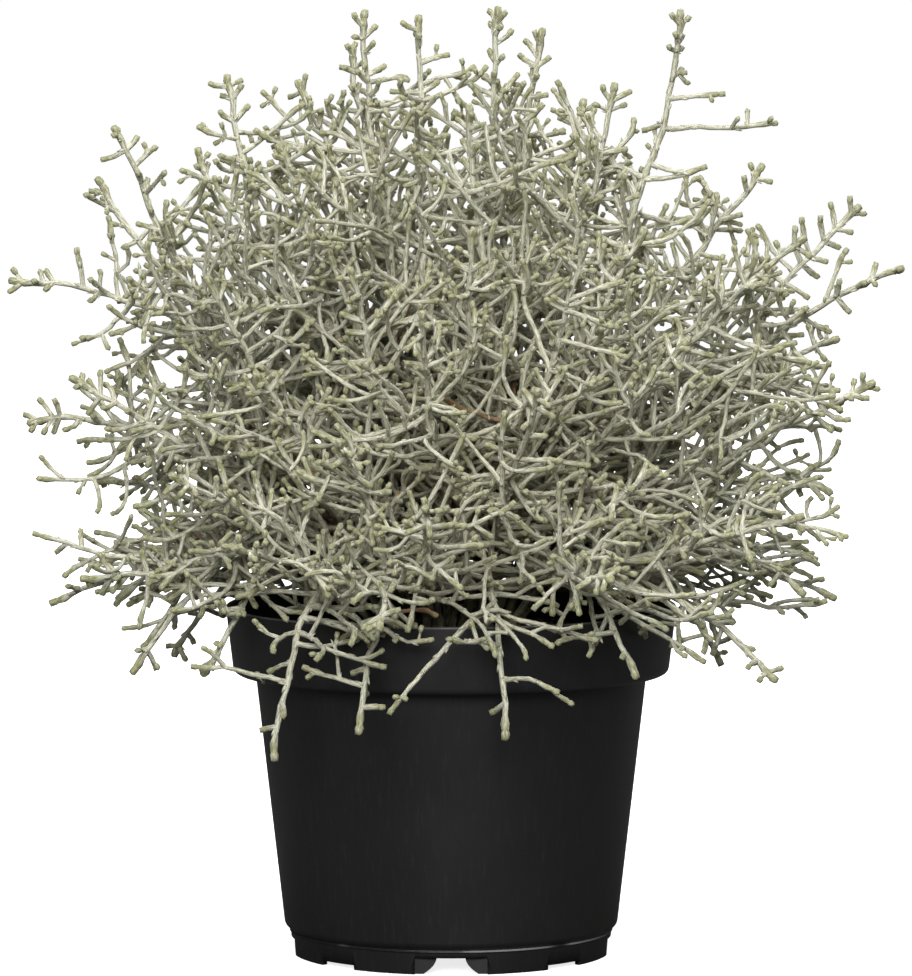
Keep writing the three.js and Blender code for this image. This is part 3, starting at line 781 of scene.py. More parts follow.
def inner_share(points):
    """0 near the outside of the bush, 1 near its middle."""
    return np.clip((INNER_FROM - shell_share(points)) / INNER_DEPTH, 0, 1)


def print_stems(when):
    metres = sum(stem["length"] for stem in stems) / 1000
    print("stems", when, len(stems), "metres:", round(metres, 1))


stems = []
for spray in sprays:
    for leader in spray["leaders"]:
        count = math.ceil(leader["span"] / LEADER_STEP) + 1
        run = np.array([leader["curve"].spot(k / (count - 1)) for k in range(count)])
        if leader is spray["leaders"][0]:
            root = spray["foot"] - UP * ROOT_DEPTH
            run = np.vstack([root, spray["foot"] - UP * FOOT_STEP, run])
        leader.update(measure(run))
        leader.update(level=0, spray=spray, at=0.0)
        stems.append(leader)
for branch in side_stems:
    branch.update(measure(bowed_run(branch["points"])))
    stems.append(branch)
print_stems("as in the solids:")

# %% Two kinds of twig: short and free, or leaning on another stem
TWIG_GIRTH = 0.62
TWIG_GAP = -0.3
TWIG_APART = 1.8
TWIG_TRIES = 7
TWIG_TURN = 0.9
TWIG_SHRINK = 0.12
TWIG_LEAN = 0.13
TWIG_BOW = 0.12
TWIG_ROOT_SHARE = 0.45
LEAN_GAP = -0.75
LEAN_SHORTEST = 5.0
LEAN_SHELL = 1.03
LEAN_ROOT_SHARE = 0.18
LEAN_REST_SHARE = 0.82
LEAN_SHARES = (LEAN_ROOT_SHARE, 0.45, 0.72, 1.0)
LEAN_LAST_STEP = 0.4
OUTER_SHELL = 0.52
INNER_FREE_CHANCE = 0.3
OUTER_FREE_CHANCE = 0.9
FRINGE_HEIGHT = 104.0
FRINGE_RADIUS = 44.0
FRINGE_SLOPE = 0.5
FRINGE_CHANCE = 0.35


def is_fringe(start, end):
    """True for a twig that would hang down steeply over the rim."""
    steep = start[2] - end[2] > FRINGE_SLOPE * np.linalg.norm(end - start)
    return steep and end[2] < FRINGE_HEIGHT and math.hypot(end[0], end[1]) > FRINGE_RADIUS


def is_apart(from_tip, taken):
    return all(abs(from_tip - other) > TWIG_APART for other in taken)


def taken_on(parent):
    return [stem["at"] for stem in stems if stem.get("from") is parent]


def twig_tries(parent, from_tip, length, shrink, around, wide, draw):
    """Three points for a twig: at the wished angle round its stem, then at a few other angles."""
    spot, ahead = stem_spot(parent, from_tip)
    side = side_of(ahead)
    for attempt in range(TWIG_TRIES):
        out = turned(side, ahead, around + attempt * TWIG_TURN)
        aim = ahead * math.cos(wide) + out * math.sin(wide)
        reach = length * (1 - shrink * attempt)
        lean = turned(side, ahead, 2 * math.pi * draw()) * (TWIG_LEAN * reach)
        yield spot, spot + aim * (reach / 2) + lean, spot + unit(aim + ahead * TWIG_BOW) * reach


def keep_twig(parent, from_tip, tested, run, leans=False):
    number = next(stem_numbers)
    thicket.grow(tested, TWIG_GIRTH, parent["spray"]["number"], number, parent["number"], from_tip)
    stems.append({"spray": parent["spray"], "number": number, "level": parent["level"] + 1, "from": parent,
                  "at": from_tip, "leans": leans, **run})


def grow_twig(parent, from_tip, length, around, wide, draw):
    """A short twig with a free tip."""
    kin = {"parent": parent["number"], "station": from_tip}
    for spot, middle, end in twig_tries(parent, from_tip, length, TWIG_SHRINK, around, wide, draw):
        if is_fringe(spot, end) and draw() > FRINGE_CHANCE:
            continue
        outer = [spot + (middle - spot) * TWIG_ROOT_SHARE, middle, end]
        if thicket.has_room(outer, TWIG_GIRTH, parent["spray"]["foot"], TWIG_GAP, **kin):
            keep_twig(parent, from_tip, outer, measure(bowed_run([spot, middle, end])))
            return


def grow_leaning(parent, from_tip, length, around, wide, draw):
    """A longer twig inside the bush, which grows until it leans on another stem."""
    outside = shell_share(stem_spot(parent, from_tip)[0]) > OUTER_SHELL
    may_end_free = draw() < (OUTER_FREE_CHANCE if outside else INNER_FREE_CHANCE)
    kin = {"parent": parent["number"], "station": from_tip}
    for points in twig_tries(parent, from_tip, length, 0, around, wide, draw):
        run = measure(bowed_run(points))
        outer = [stem_spot(run, run["length"] * (1 - share))[0] for share in LEAN_SHARES]
        share = thicket.first_touch(outer, TWIG_GIRTH, parent["spray"]["foot"], LEAN_GAP, **kin)
        touches = share < 1
        reach = run["length"] * spread((LEAN_ROOT_SHARE, LEAN_REST_SHARE), share)
        if share == 0 or reach < LEAN_SHORTEST or not (touches or may_end_free):
            continue
        end = stem_spot(run, run["length"] - reach)[0]
        if shell_share(end) > LEAN_SHELL or is_fringe(points[0], end):
            continue
        cut = measure(np.vstack([run["points"][run["run"] < reach - LEAN_LAST_STEP], end]))
        keep_twig(parent, from_tip, [outer[0], *cut["points"][2:]], cut, touches)
        return


# %% Longer branches deep in the bush
DEEP_FROM = 15.0
DEEP_STEP = 4.6
DEEP_CHANCE = 0.85
DEEP_SHORTEST = 7
DEEP_LONGEST = 90.0
DEEP_LOWEST = 12
DEEP_SHARE = (0.4, 0.6)
DEEP_OPEN = (0.7, 0.85)
DEEP_VEER = 0.8
UNEVEN = (0.7, 0.6)
DROOP_BARE = 27.0


def grow_deep_branches(leader, draw):
    taken = taken_on(leader)
    bare = DROOP_BARE if leader["tip"]["pitch"] < 0 else DEEP_FROM
    from_tip = bare + PAIR_SHIFT * draw()
    while from_tip < leader["span"] - DEEP_LOWEST:
        around = 2 * math.pi * draw()
        for turn in (0, math.pi):
            share, wide, chance = spread(DEEP_SHARE, draw()), spread(DEEP_OPEN, draw()), draw()
            length = clamp(from_tip * share, DEEP_SHORTEST, DEEP_LONGEST)
            if is_apart(from_tip, taken) and chance < DEEP_CHANCE:
                grow_leaning(leader, from_tip, length, around + turn + DEEP_VEER * draw(), wide, draw)
        from_tip += DEEP_STEP * spread(UNEVEN, draw())


for leader in [stem for stem in stems if stem["level"] == 0]:
    grow_deep_branches(leader, drawer(DEEP_SEED + leader["number"]))
print_stems("with the deep ones:")

# %% Forks on the longer branches
FORKED_FROM = 13
FORK_FROM = 8.0
FORK_SPACING = 8.5
FORK_CHANCE = 0.75
FORK_LOWEST = 4
FORK_BASE = 2.5
FORK_SHARE = (0.45, 0.6)
FORK_OPEN = (0.75, 0.75)


def grow_forks(branch, draw):
    from_tip = FORK_FROM + PAIR_SHIFT * draw()
    while from_tip < branch["length"] - FORK_LOWEST:
        length = FORK_BASE + from_tip * spread(FORK_SHARE, draw())
        wide, chance = spread(FORK_OPEN, draw()), draw()
        if chance < FORK_CHANCE:
            grow_leaning(branch, from_tip, length, 2 * math.pi * draw(), wide, draw)
        from_tip += FORK_SPACING * spread(UNEVEN, draw())


for branch in [stem for stem in stems if stem["level"] == 1 and stem["length"] > FORKED_FROM]:
    grow_forks(branch, drawer(FORK_SEED + branch["number"]))
print_stems("with the forks:")

# %% Short clubbed twigs towards every free tip
TWIGGED_FROM = 6.5
TWIG_FIRST = (3.0, 1.2)
TWIG_STEP = 5.2
TWIG_LOWEST = 2.6
TWIG_ROUND = (1.3, 0.6)
TWIG_OPEN = (0.85, 0.6)
TWIG_LONGER = 1.6
TWIG_GROWTH = 0.2
TWIG_UNEVEN = (0.75, 0.5)
HANGING_BELOW = POT_HEIGHT + 20
TWIG_CHANCES = (0.72, 0.38, 0.2)
TWIG_REACHES = (36, 14, 8)
TWIG_LENGTHS = (3.3, 2.6, 2.2)
DROOP_TWIG_SHARE = 0.4
DEEP_TWIG_LOSS = 0.75


def grow_short_twigs(parent, draw):
    taken = taken_on(parent)
    level = min(parent["level"], 2)
    hangs = parent["points"][-1][2] < parent["points"][0][2] < HANGING_BELOW
    shown_share = TWIG_CHANCES[level] * (DROOP_TWIG_SHARE if hangs else 1)
    shown_share *= 1 - DEEP_TWIG_LOSS * inner_share(parent["points"][-1])
    from_tip = spread(TWIG_FIRST, draw())
    around = 2 * math.pi * draw()
    while from_tip < min(parent["length"] - TWIG_LOWEST, TWIG_REACHES[level]):
        around += spread(TWIG_ROUND, draw())
        for turn in (0, math.pi):
            length = TWIG_LENGTHS[level] + TWIG_LONGER * draw() + TWIG_GROWTH * from_tip * draw()
            wide, shown = spread(TWIG_OPEN, draw()), draw() < shown_share
            if is_apart(from_tip, taken) and shown:
                grow_twig(parent, from_tip, length, around + turn, wide, draw)
        from_tip += TWIG_STEP * spread(TWIG_UNEVEN, draw())


for parent in [stem for stem in stems if stem["length"] > TWIGGED_FROM and not stem.get("leans")]:
    grow_short_twigs(parent, drawer(TWIG_SEED + parent["number"]))
print_stems("with the twigs:")
print("stretches tested:", thicket.count)

# %% [markdown]
# ## The felted skin of a stem
# Each stem is sheathed in tiny leaves that lie against it like scales, grow out of it for a few
# millimetres and end in a small point, so its outline is finely toothed. At the tip they close into a
# blunt club. One scale and one crown of scales are modelled once, in units of the stem's half width,
# with only a few faces, because they are repeated thousands of times.

# %% One scale leaf and one crown
# The scale lies along +Z against a stem of half width 1, and its point at height 2.9 lifts off it.
SCALE_CORNERS = [
    (0.72, -0.6, 0.0), (0.72, 0.6, 0.0), (0.92, -0.69, 1.305), (0.92, 0.69, 1.305),
    (1.08, 0.0, 0.348), (1.41, 0.0, 1.595), (1.48, 0.0, 2.9), (0.8, 0.0, 2.088),
]
SCALE_FACES = [
    (0, 4, 1), (0, 2, 5, 4), (1, 4, 5, 3), (2, 6, 5), (3, 5, 6), (2, 7, 6), (3, 6, 7), (0, 7, 2), (1, 3, 7),
    (0, 1, 7),
]
# The crown's rings: height, half width and how far their teeth go in and out.
CROWN_RINGS = ((-2.4, 0.58, 0.0), (-1.1, 1.03, 0.0), (0.1, 0.88, 0.16))
CROWN_CORNERS = 6
CROWN_RISE = 0.45
FELT_ALONG = 0.45


def crown_parts():
    """Corners and faces of the blunt end of a twig: a club whose last ring is toothed by three leaves."""
    corners = []
    for height, radius, tooth in CROWN_RINGS:
        for k in range(CROWN_CORNERS):
            sign = 1 - 2 * (k % 2)
            size = radius + 0.5 * tooth * sign
            angle = 2 * math.pi * k / CROWN_CORNERS
            corners.append((size * math.cos(angle), size * math.sin(angle), height + tooth * sign))
    faces = []
    for row in range(len(CROWN_RINGS) - 1):
        for k in range(CROWN_CORNERS):
            a, b = row * CROWN_CORNERS + k, row * CROWN_CORNERS + (k + 1) % CROWN_CORNERS
            faces.append((a, b, b + CROWN_CORNERS, a + CROWN_CORNERS))
    brim = len(corners) - CROWN_CORNERS
    corners.append((0.0, 0.0, CROWN_RINGS[-1][0] + CROWN_RISE))
    faces += [(brim + k, brim + (k + 1) % CROWN_CORNERS, len(corners) - 1) for k in range(CROWN_CORNERS)]
    faces.append(tuple(range(CROWN_CORNERS)))
    return corners, faces


def felt_mesh(name, corners, faces):
    """A small part of the felted skin, whose own coordinates become the felt's."""
    whole = bmesh.new()
    spots = [whole.verts.new(corner) for corner in corners]
    for face in faces:
        whole.faces.new([spots[k] for k in face])
    made = keep_mesh(name, whole)
    felt = made.data.attributes.new("felt", "FLOAT_VECTOR", "POINT")
    felt.data.foreach_set("vector", np.array([(x, y, FELT_ALONG * z) for x, y, z in corners]).ravel())
    return made


scale_leaf = felt_mesh("scale_leaf", SCALE_CORNERS, SCALE_FACES)
crown = felt_mesh("crown", *crown_parts())
print("triangles of a scale and a crown:", triangles(scale_leaf), triangles(crown))

# %% [markdown]
# ### The felt itself
# White woolly hair lies along the stems and lets the green skin show through in fine streaks. Young tips
# are yellow green, and here and there a dead stem is brown. Stems deep in the bush are darker and browner:
# partly older wood, partly painted shade where the tangle shades them. The colour follows attributes that
# the stems carry: how far a spot is from its tip, how deep in the bush it lies, for older wood and painted
# shade at once, a tone for each stem, and a coordinate that runs round and along it. A picture could not
# do this, because it would not know where a stem begins.

# %% Helpers for materials
def tint(red, green, blue):
    """A colour as seen on a screen, 0 to 255, as the linear colour that a shader takes."""
    linear = []
    for part in (red, green, blue):
        share = part / 255
        linear.append(share / 12.92 if share < 0.04045 else ((share + 0.055) / 1.055) ** 2.4)
    return (*linear, 1.0)


def span(tree, value, low, high, to_low=0.0, to_high=1.0):
    """Stretches a range of values smoothly to another one."""
    sockets = {"Value": value, "From Min": low, "From Max": high, "To Min": to_low, "To Max": to_high}
    return get(tree, "ShaderNodeMapRange", sockets, "Result", interpolation_type="SMOOTHSTEP")


def mix(tree, share, first, second):
    return get(tree, "ShaderNodeMix", {0: share, 6: first, 7: second}, 2, data_type="RGBA")


def part_of(tree, value, share):
    return calc(tree, "MULTIPLY", value, share)


def attribute(tree, name, which="Fac"):
    return get(tree, "ShaderNodeAttribute", which=which, attribute_name=name)


def bump(tree, shader, height, strength, distance):
    """Fine relief that only the shading shows."""
    sockets = {"Height": height, "Strength": strength, "Distance": distance}
    tree.links.new(get(tree, "ShaderNodeBump", sockets), shader.inputs["Normal"])


def new_material(name, values):
    """A material with the values that are the same all over it, its tree and its shader."""
    material = bpy.data.materials.new(name)
    material.use_nodes = True
    shader = material.node_tree.nodes["Principled BSDF"]
    for socket, value in values.items():
        shader.inputs[socket].default_value = value
    return material, material.node_tree, shader


# %% The felt material
silver_felt, tree, shader = new_material("silver_felt", {
    "Roughness": 0.9, "Specular IOR Level": 0.12, "Sheen Weight": 0.25, "Sheen Roughness": 0.45,
    "Sheen Tint": tint(236, 235, 218),
})
felt = attribute(tree, "felt", "Vector")
depth_shade_and_age = attribute(tree, "depth_shade_and_age")
tone = attribute(tree, "tone")
streak = noise(tree, vector_calc(tree, "MULTIPLY", felt, (1.0, 1.0, 0.32)), 2.9, 3.0, 0.62)
grooves = span(tree, streak, 0.56, 0.4)
tip_share = span(tree, attribute(tree, "from_tip"), 0.0034, 0.0006)
green_share = part_of(tree, tip_share, span(tree, noise(tree, felt, 0.9, 1.0), 0.3, 0.62, 0.4, 0.95))
young = mix(tree, green_share, tint(209, 208, 190), tint(150, 152, 110))
# Deeper in the bush the felt turns darker olive brown: partly older wood, partly painted shade.
older_and_shaded = mix(tree, part_of(tree, depth_shade_and_age, 0.9), young, tint(126, 119, 90))
toned = mix(tree, part_of(tree, tone, 0.35), older_and_shaded, tint(164, 162, 132))
dead = part_of(tree, span(tree, tone, 0.972, 0.98), span(tree, depth_shade_and_age, 0.1, 0.3))
browned = mix(tree, part_of(tree, dead, 0.85), toned, tint(134, 92, 60))
lined = mix(tree, part_of(tree, grooves, 0.64), browned, tint(94, 92, 64))
tree.links.new(lined, shader.inputs["Base Color"])
fuzz = noise(tree, felt, 6.0, 2.0, 0.7)
bump(tree, shader, calc(tree, "ADD", part_of(tree, streak, 0.7), part_of(tree, fuzz, 0.3)), 0.55, 0.0003)
print("felt nodes:", len(tree.nodes))

# %% [markdown]
# ## Stems by Geometry Nodes
# A stem could be modelled by hand as a tapered tube. With thousands of them it is better to keep only a
# thin line of points with a girth on each, and to let one tree of nodes do the rest: it bends the line
# a little, lays a ring of corners round it, swells it into a club at the tip, makes the skin knobbly,
# and sets scales along it and a crown on its end. A change of one input then changes the whole bush.

# %% The tree that dresses a line of points as a stem: its line
CROWD_REACH = 0.016
TIP_CROWDING = 0.14
LEANING_END = 0.02
stem_tree, given = new_tree("felted_stems", {
    "Ring spacing": "Float", "Sides": "Int", "Wander": "Float", "Knobs": "Float", "Scale spacing": "Float",
    "Scale": "Object", "Crown": "Object", "Felt": "Material", "Seed": "Int",
})
tree = stem_tree
line = get(tree, "GeometryNodeMeshToCurve", {"Mesh": given["Start"]})
resampled = {"Curve": line, "Length": given["Ring spacing"]}
rings = get(tree, "GeometryNodeResampleCurve", resampled, mode="LENGTH")
position = get(tree, "GeometryNodeInputPosition")
drift = get(tree, "ShaderNodeTexNoise", {"Vector": position, "Scale": 85.0, "Detail": 1.0}, "Color")
centred = vector_calc(tree, "SUBTRACT", drift, (0.5, 0.5, 0.5))
bent = moved(tree, rings, Offset=scaled(tree, centred, given["Wander"]))
# Rings crowd together towards the tip, so that it can be rounded off without more of them.
whole = get(tree, "GeometryNodeSplineLength", which="Length")
run = get(tree, "GeometryNodeSplineParameter", which="Length")
rest = calc(tree, "SUBTRACT", whole, run)
crowd_reach = calc(tree, "MINIMUM", whole, CROWD_REACH)
rest_share = calc(tree, "MINIMUM", calc(tree, "DIVIDE", rest, crowd_reach), 1.0)
crowding = calc(tree, "MULTIPLY_ADD", rest_share, 1 - TIP_CROWDING, TIP_CROWDING)
crowded = calc(tree, "MULTIPLY", rest, crowding)
sampled = {"Curves": bent, "Length": calc(tree, "SUBTRACT", whole, crowded),
           "Curve Index": get(tree, "GeometryNodeCurveOfPoint", which="Curve Index")}
new_place = get(tree, "GeometryNodeSampleCurve", sampled, "Position", mode="LENGTH")
# A stem that leans on another one has no tip of its own, and neither club nor crown.
leans = named(tree, "leans")
from_tip = calc(tree, "MULTIPLY_ADD", leans, LEANING_END, crowded)
bent = store(tree, moved(tree, bent, Position=new_place), "from_tip", from_tip)

# %% The same tree: club, tube and knobs
CLUB_LENGTH = 0.003
CLUB_CURVE = ((0.12, 0.62), (0.4, 0.76), (0.72, 0.57))
FELT_PER_METRE = 550.0
FELT_SHIFT = 40.0
club_part = calc(tree, "MINIMUM", calc(tree, "DIVIDE", named(tree, "from_tip"), CLUB_LENGTH), 1.0)
club = add(tree, "ShaderNodeFloatCurve", {"Value": club_part})
bow = club.mapping.curves[0]
bow.points[0].location = (0.0, 0.3)
bow.points[1].location = (1.0, 0.5)
for at, size in CLUB_CURVE:
    bow.points.new(at, size)
club.mapping.update()
swollen = calc(tree, "MULTIPLY", calc(tree, "MULTIPLY", club.outputs[0], 2.0), named(tree, "girth"))
sized = store(tree, store(tree, bent, "reach", swollen), "along", run)
circle = {"Resolution": given["Sides"], "Radius": 1.0}
ring = get(tree, "GeometryNodeCurvePrimitiveCircle", circle, mode="RADIUS")
marked_ring = store(tree, ring, "round", position, "FLOAT_VECTOR")
swept = {"Curve": sized, "Profile Curve": marked_ring, "Scale": swollen, "Fill Caps": True}
tube = get(tree, "GeometryNodeCurveToMesh", swept)
# The felt's coordinate: round the stem in x and y, along it in z, shifted from stem to stem.
shift = calc(tree, "MULTIPLY", named(tree, "tone"), FELT_SHIFT)
run_z = calc(tree, "ADD", calc(tree, "MULTIPLY", named(tree, "along"), FELT_PER_METRE), shift)
rounds = parts_of(tree, named(tree, "round", "FLOAT_VECTOR"))
felt_spot = get(tree, "ShaderNodeCombineXYZ", {0: rounds[0], 1: rounds[1], 2: run_z})
felted = store(tree, tube, "felt", felt_spot, "FLOAT_VECTOR")
lumps = calc(tree, "SUBTRACT", noise(tree, felt_spot, 1.1, 0.0), 0.5)
push = calc(tree, "MULTIPLY", calc(tree, "MULTIPLY", lumps, given["Knobs"]), named(tree, "reach"))
normal = get(tree, "GeometryNodeInputNormal")
skin = moved(tree, felted, Offset=scaled(tree, normal, push))

# %% The same tree: scales and crowns
SCALE_SIZES = (0.8, 1.12)
SCALE_LAST = 0.0022
CROWN_SIZE = 1.52
# Scales: one every few millimetres, each a golden turn further round the stem.
spaced = {"Curve": sized, "Length": given["Scale spacing"]}
spots = add(tree, "GeometryNodeCurveToPoints", spaced, mode="LENGTH").outputs
turn = calc(tree, "MULTIPLY", get(tree, "GeometryNodeInputIndex"), GOLDEN_TURN)
spin = get(tree, "FunctionNodeAxisAngleToRotation", {"Axis": (0, 0, 1), "Angle": turn})
both = {"Rotation": turn_to(tree, spots["Tangent"], spots["Normal"]), "Rotate By": spin}
spun = get(tree, "FunctionNodeRotateRotation", both, rotation_space="LOCAL")
size = calc(tree, "MULTIPLY", named(tree, "reach"), random_between(tree, *SCALE_SIZES, given["Seed"]))
off_tip = is_over(tree, named(tree, "from_tip"), SCALE_LAST)
scale_shape = shape_of(tree, given["Scale"])
scales = placed(tree, spots["Points"], scale_shape, spun, Selection=off_tip, Scale=size)
# A crown on each end that is free.
last = get(tree, "GeometryNodeCurveEndpointSelection", {"Start Size": 0, "End Size": 1})
free_end = calc(tree, "SUBTRACT", last, leans)
ahead = turn_to(tree, get(tree, "GeometryNodeInputTangent"), normal)
tip_size = calc(tree, "MULTIPLY", named(tree, "girth"), CROWN_SIZE)
crowns = placed(tree, sized, shape_of(tree, given["Crown"]), ahead, Selection=free_end, Scale=tip_size)
end_tree(tree, joined(tree, crowns, scales, skin), given["Felt"])
print("nodes in the stem tree:", len(tree.nodes))

# %% Lines of points for one spray, with what the tree reads on each point
# For each order of stem: half width at the tip, at the foot, and the length from one to the other.
STEM_GIRTHS = ((0.74, 1.25, 165), (0.56, 0.82, 40), (0.49, 0.62, 18), (0.47, 0.53, 8))
FLARE_LENGTH = 2.6
FLARE_POWER = 1.5
FLARE_SHARE = 0.95
FOOT_FLARE = 1.2
LEAN_SWELL = 0.35
LEAN_SWELL_LENGTH = 2.0
TONE_STEP = 0.618


def stem_girths(stem, from_tip):
    """Half widths in mm along a stem: slim at the tip, stout at the foot, flared into what carries it."""
    slim, stout, reach = STEM_GIRTHS[stem["level"]]
    girths = slim + (stout - slim) * np.clip(from_tip / reach, 0, 1)
    if "from" in stem:
        carrier = girths[0] * FOOT_FLARE
        if stem["level"]:
            carrier = stem_girths(stem["from"], np.array([stem["at"]]))[0]
        flare = np.clip(1 - (stem["length"] - from_tip) / FLARE_LENGTH, 0, 1) ** FLARE_POWER
        girths = girths + (max(carrier * FLARE_SHARE, girths[0]) - girths[0]) * flare
    if stem.get("leans"):
        girths = girths * (1 + LEAN_SWELL * np.clip(1 - from_tip / LEAN_SWELL_LENGTH, 0, 1))
    return girths


def spray_lines(spray):
    own = [stem for stem in stems if stem["spray"] is spray]
    edges, first = [], 0
    layers = {"girth": [], "from_tip": [], "depth_shade_and_age": [], "tone": [], "leans": []}
    for stem in own:
        count = len(stem["points"])
        edges += [(first + k, first + k + 1) for k in range(count - 1)]
        first += count
        from_tip = stem["length"] - stem["run"]
        layers["girth"].append(stem_girths(stem, from_tip) * MM)
        layers["from_tip"].append(from_tip * MM)
        # How deep in the bush each point lies: the felt darkens with it, for older wood and as painted shade.
        layers["depth_shade_and_age"].append(inner_share(stem["points"]))
        layers["tone"].append(np.full(count, stem["number"] * TONE_STEP % 1))
        layers["leans"].append(np.full(count, float(stem.get("leans", False))))
    mesh = bpy.data.meshes.new("lines")
    corners = np.concatenate([stem["points"] for stem in own]) * MM
    mesh.from_pydata(corners.tolist(), edges, [])
    for name, values in layers.items():
        layer = mesh.attributes.new(name, "FLOAT", "POINT")
        layer.data.foreach_set("value", np.concatenate(values).astype(np.float32))
    return new_object("lines", mesh)


print("girths of a leader in mm:", np.round(stem_girths(stems[0], np.array([0, 20, 80, 150])), 2))

# %% The sprays
STEM_VALUES = {
    "Ring spacing": 0.0023, "Sides": 5, "Wander": 0.0036, "Knobs": 0.8, "Scale spacing": 0.0038,
    "Scale": scale_leaf, "Crown": crown, "Felt": silver_felt,
}
bush_triangles = 0
for spray in sprays:
    lines = spray_lines(spray)
    piece = run_tree(lines, stem_tree, {**STEM_VALUES, "Seed": spray["number"]},
                     f"stems_{spray['number'] + 1:02d}")
    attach(piece, "root")
    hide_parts(f"spray_{spray['number'] + 1:02d}")
    bush_triangles += triangles(piece)
for shape in (scale_leaf, crown):
    bpy.data.objects.remove(shape)
print("triangles of all the stems:", bush_triangles)

# %% [markdown]
# ## The pot
# A thin moulded pot: a tapered body, a wider band under the rim, and a foot ring with notches that let
# water out. A cylinder with a few cuts would do from afar. Here its outline is drawn once, with every
# corner rounded, and spun round the axis; a small tree of nodes then cuts the notches and drain holes.

# %% The pot's outline, and spinning it
# Corners of the outline in mm: radius, height and how far the corner is rounded.
POT_UNDERSIDE = [(0, 4.6, 0), (39.2, 4.6, 0.4), (40.6, 4.6, 0.3)]
POT_FOOT = [(40.6, 0, 0.3), (42.4, 0, 0.35), (42.8, 5.7, 0.2), (43.2, 6.1, 0.15), (42.8, 6.5, 0.2)]
POT_OUTSIDE = [(44.4, 7.8, 0.9), (52.1, 75, 0.5), (57.9, 75, 1.7), (60, 92.6, 0.5)]
POT_LIP = [(59.7, 93, 0.2), (58.9, 93, 0.3)]
POT_INSIDE = [(56.9, 76.6, 1.0), (50.9, 76.2, 1.0), (43.2, 7.7, 1.5), (42, 6.2, 0.6), (0, 6.2, 0)]
POT_SIDES = 144
POT_BENDS = 5


def rounded(corners, bends):
    """A closed outline of radius, height and corner rounding, with an arc of points at each corner."""
    outline = []
    for k, (radius, height, ease) in enumerate(corners):
        spot = np.array([radius, height])
        if ease == 0:
            outline.append(spot)
            continue
        before = np.array(corners[k - 1][:2]) - spot
        after = np.array(corners[(k + 1) % len(corners)][:2]) - spot
        reach = min(ease, 0.48 * np.linalg.norm(before), 0.48 * np.linalg.norm(after))
        start = spot + unit(before) * reach
        end = spot + unit(after) * reach
        for share in np.linspace(0, 1, bends):
            outline.append((1 - share) ** 2 * start + 2 * (1 - share) * share * spot + share**2 * end)
    return outline


def spun_mesh(name, outline, sides):
    """Spins an outline that begins and ends on the axis into a closed skin."""
    whole = bmesh.new()
    turns = [2 * math.pi * k / sides for k in range(sides)]
    rings = []
    for radius, height in outline:
        if radius < 1e-6:
            rings.append([whole.verts.new((0, 0, height * MM))])
            continue
        rings.append([whole.verts.new((radius * MM * math.cos(t), radius * MM * math.sin(t), height * MM))
                      for t in turns])
    for low, high in zip(rings[:-1], rings[1:]):
        for k in range(sides):
            spots = [low[k % len(low)], low[(k + 1) % sides % len(low)],
                     high[(k + 1) % sides % len(high)], high[k % len(high)]]
            whole.faces.new(list(dict.fromkeys(spots)))
    return keep_mesh(name, whole)


pot_outline = rounded(POT_UNDERSIDE + POT_FOOT + POT_OUTSIDE + POT_LIP + POT_INSIDE, POT_BENDS)
pot_body = spun_mesh("pot_body", pot_outline, POT_SIDES)
print("outline points:", len(pot_outline), "pot triangles before cutting:", triangles(pot_body))

# %% The plastic
# The two heights in metres of the bead over the foot and of the rim's top edge, where a thin pale line
# is painted on as painted highlight, and how far that reaches.
BEAD_HIGHLIGHT_BAND = (0.00625, 0.00022)
RIM_HIGHLIGHT_BAND = (0.0929, 0.0003)
black_plastic, tree, shader = new_material("black_plastic", {"Specular IOR Level": 0.44})
spot = get(tree, "ShaderNodeTexCoord", which="Object")
rub = noise(tree, vector_calc(tree, "MULTIPLY", spot, (900.0, 900.0, 60.0)), 1.0, 3.0, 0.6)
cloud = noise(tree, spot, 22.0, 3.0)
shade = mix(tree, span(tree, cloud, 0.3, 0.7), tint(23, 23, 24), tint(27, 27, 27))
dusted = mix(tree, span(tree, rub, 0.5, 0.78, 0.0, 0.3), shade, tint(46, 46, 46))
level = parts_of(tree, spot)[2]
# Painted highlights: a pale line on the bead over the foot in broken runs, and a fainter one all round the
# rim's top edge.
broken = span(tree, noise(tree, spot, 30.0, 2.0), 0.48, 0.56)
bead_highlight = part_of(tree, calc(tree, "COMPARE", level, *BEAD_HIGHLIGHT_BAND), broken)
rim_highlight = part_of(tree, calc(tree, "COMPARE", level, *RIM_HIGHLIGHT_BAND), 0.35)
highlighted = mix(tree, calc(tree, "MAXIMUM", bead_highlight, rim_highlight), dusted, tint(120, 120, 118))
tree.links.new(highlighted, shader.inputs["Base Color"])
tree.links.new(span(tree, cloud, 0.25, 0.75, 0.38, 0.46), shader.inputs["Roughness"])
grain = noise(tree, spot, 2600.0, 2.0)
bump(tree, shader, calc(tree, "ADD", part_of(tree, grain, 0.35), part_of(tree, rub, 0.65)), 0.12, 0.0003)
print("plastic nodes:", len(tree.nodes))

# %% Notches and drain holes by a tree
HALF_FOOT_WALL = 0.0009
CUTTER_DEPTH = 0.0054
DRILL_DEPTH = 0.0064
DRILL_HEIGHT = 0.0054
DRILL_SIDES = 32
cut_tree, given = new_tree("pot_cuts", {
    "Notches": "Int", "Foot radius": "Float", "Deep width": "Float", "Deep height": "Float",
    "Shallow width": "Float", "Shallow height": "Float", "Drain ring": "Float", "Drain radius": "Float",
    "Plastic": "Material",
})
tree = cut_tree


def around(shape, radius, count, turn=0.0):
    """Copies of a shape round the axis, each turned to face outwards."""
    circle = get(tree, "GeometryNodeMeshCircle", {"Vertices": count, "Radius": radius})
    circle = get(tree, "GeometryNodeTransform", {"Geometry": circle, "Rotation": (0.0, 0.0, turn)})
    outward = turn_to(tree, (0, 0, 1), get(tree, "GeometryNodeInputPosition"))
    copies = placed(tree, circle, shape, outward)
    return get(tree, "GeometryNodeRealizeInstances", {"Geometry": copies})


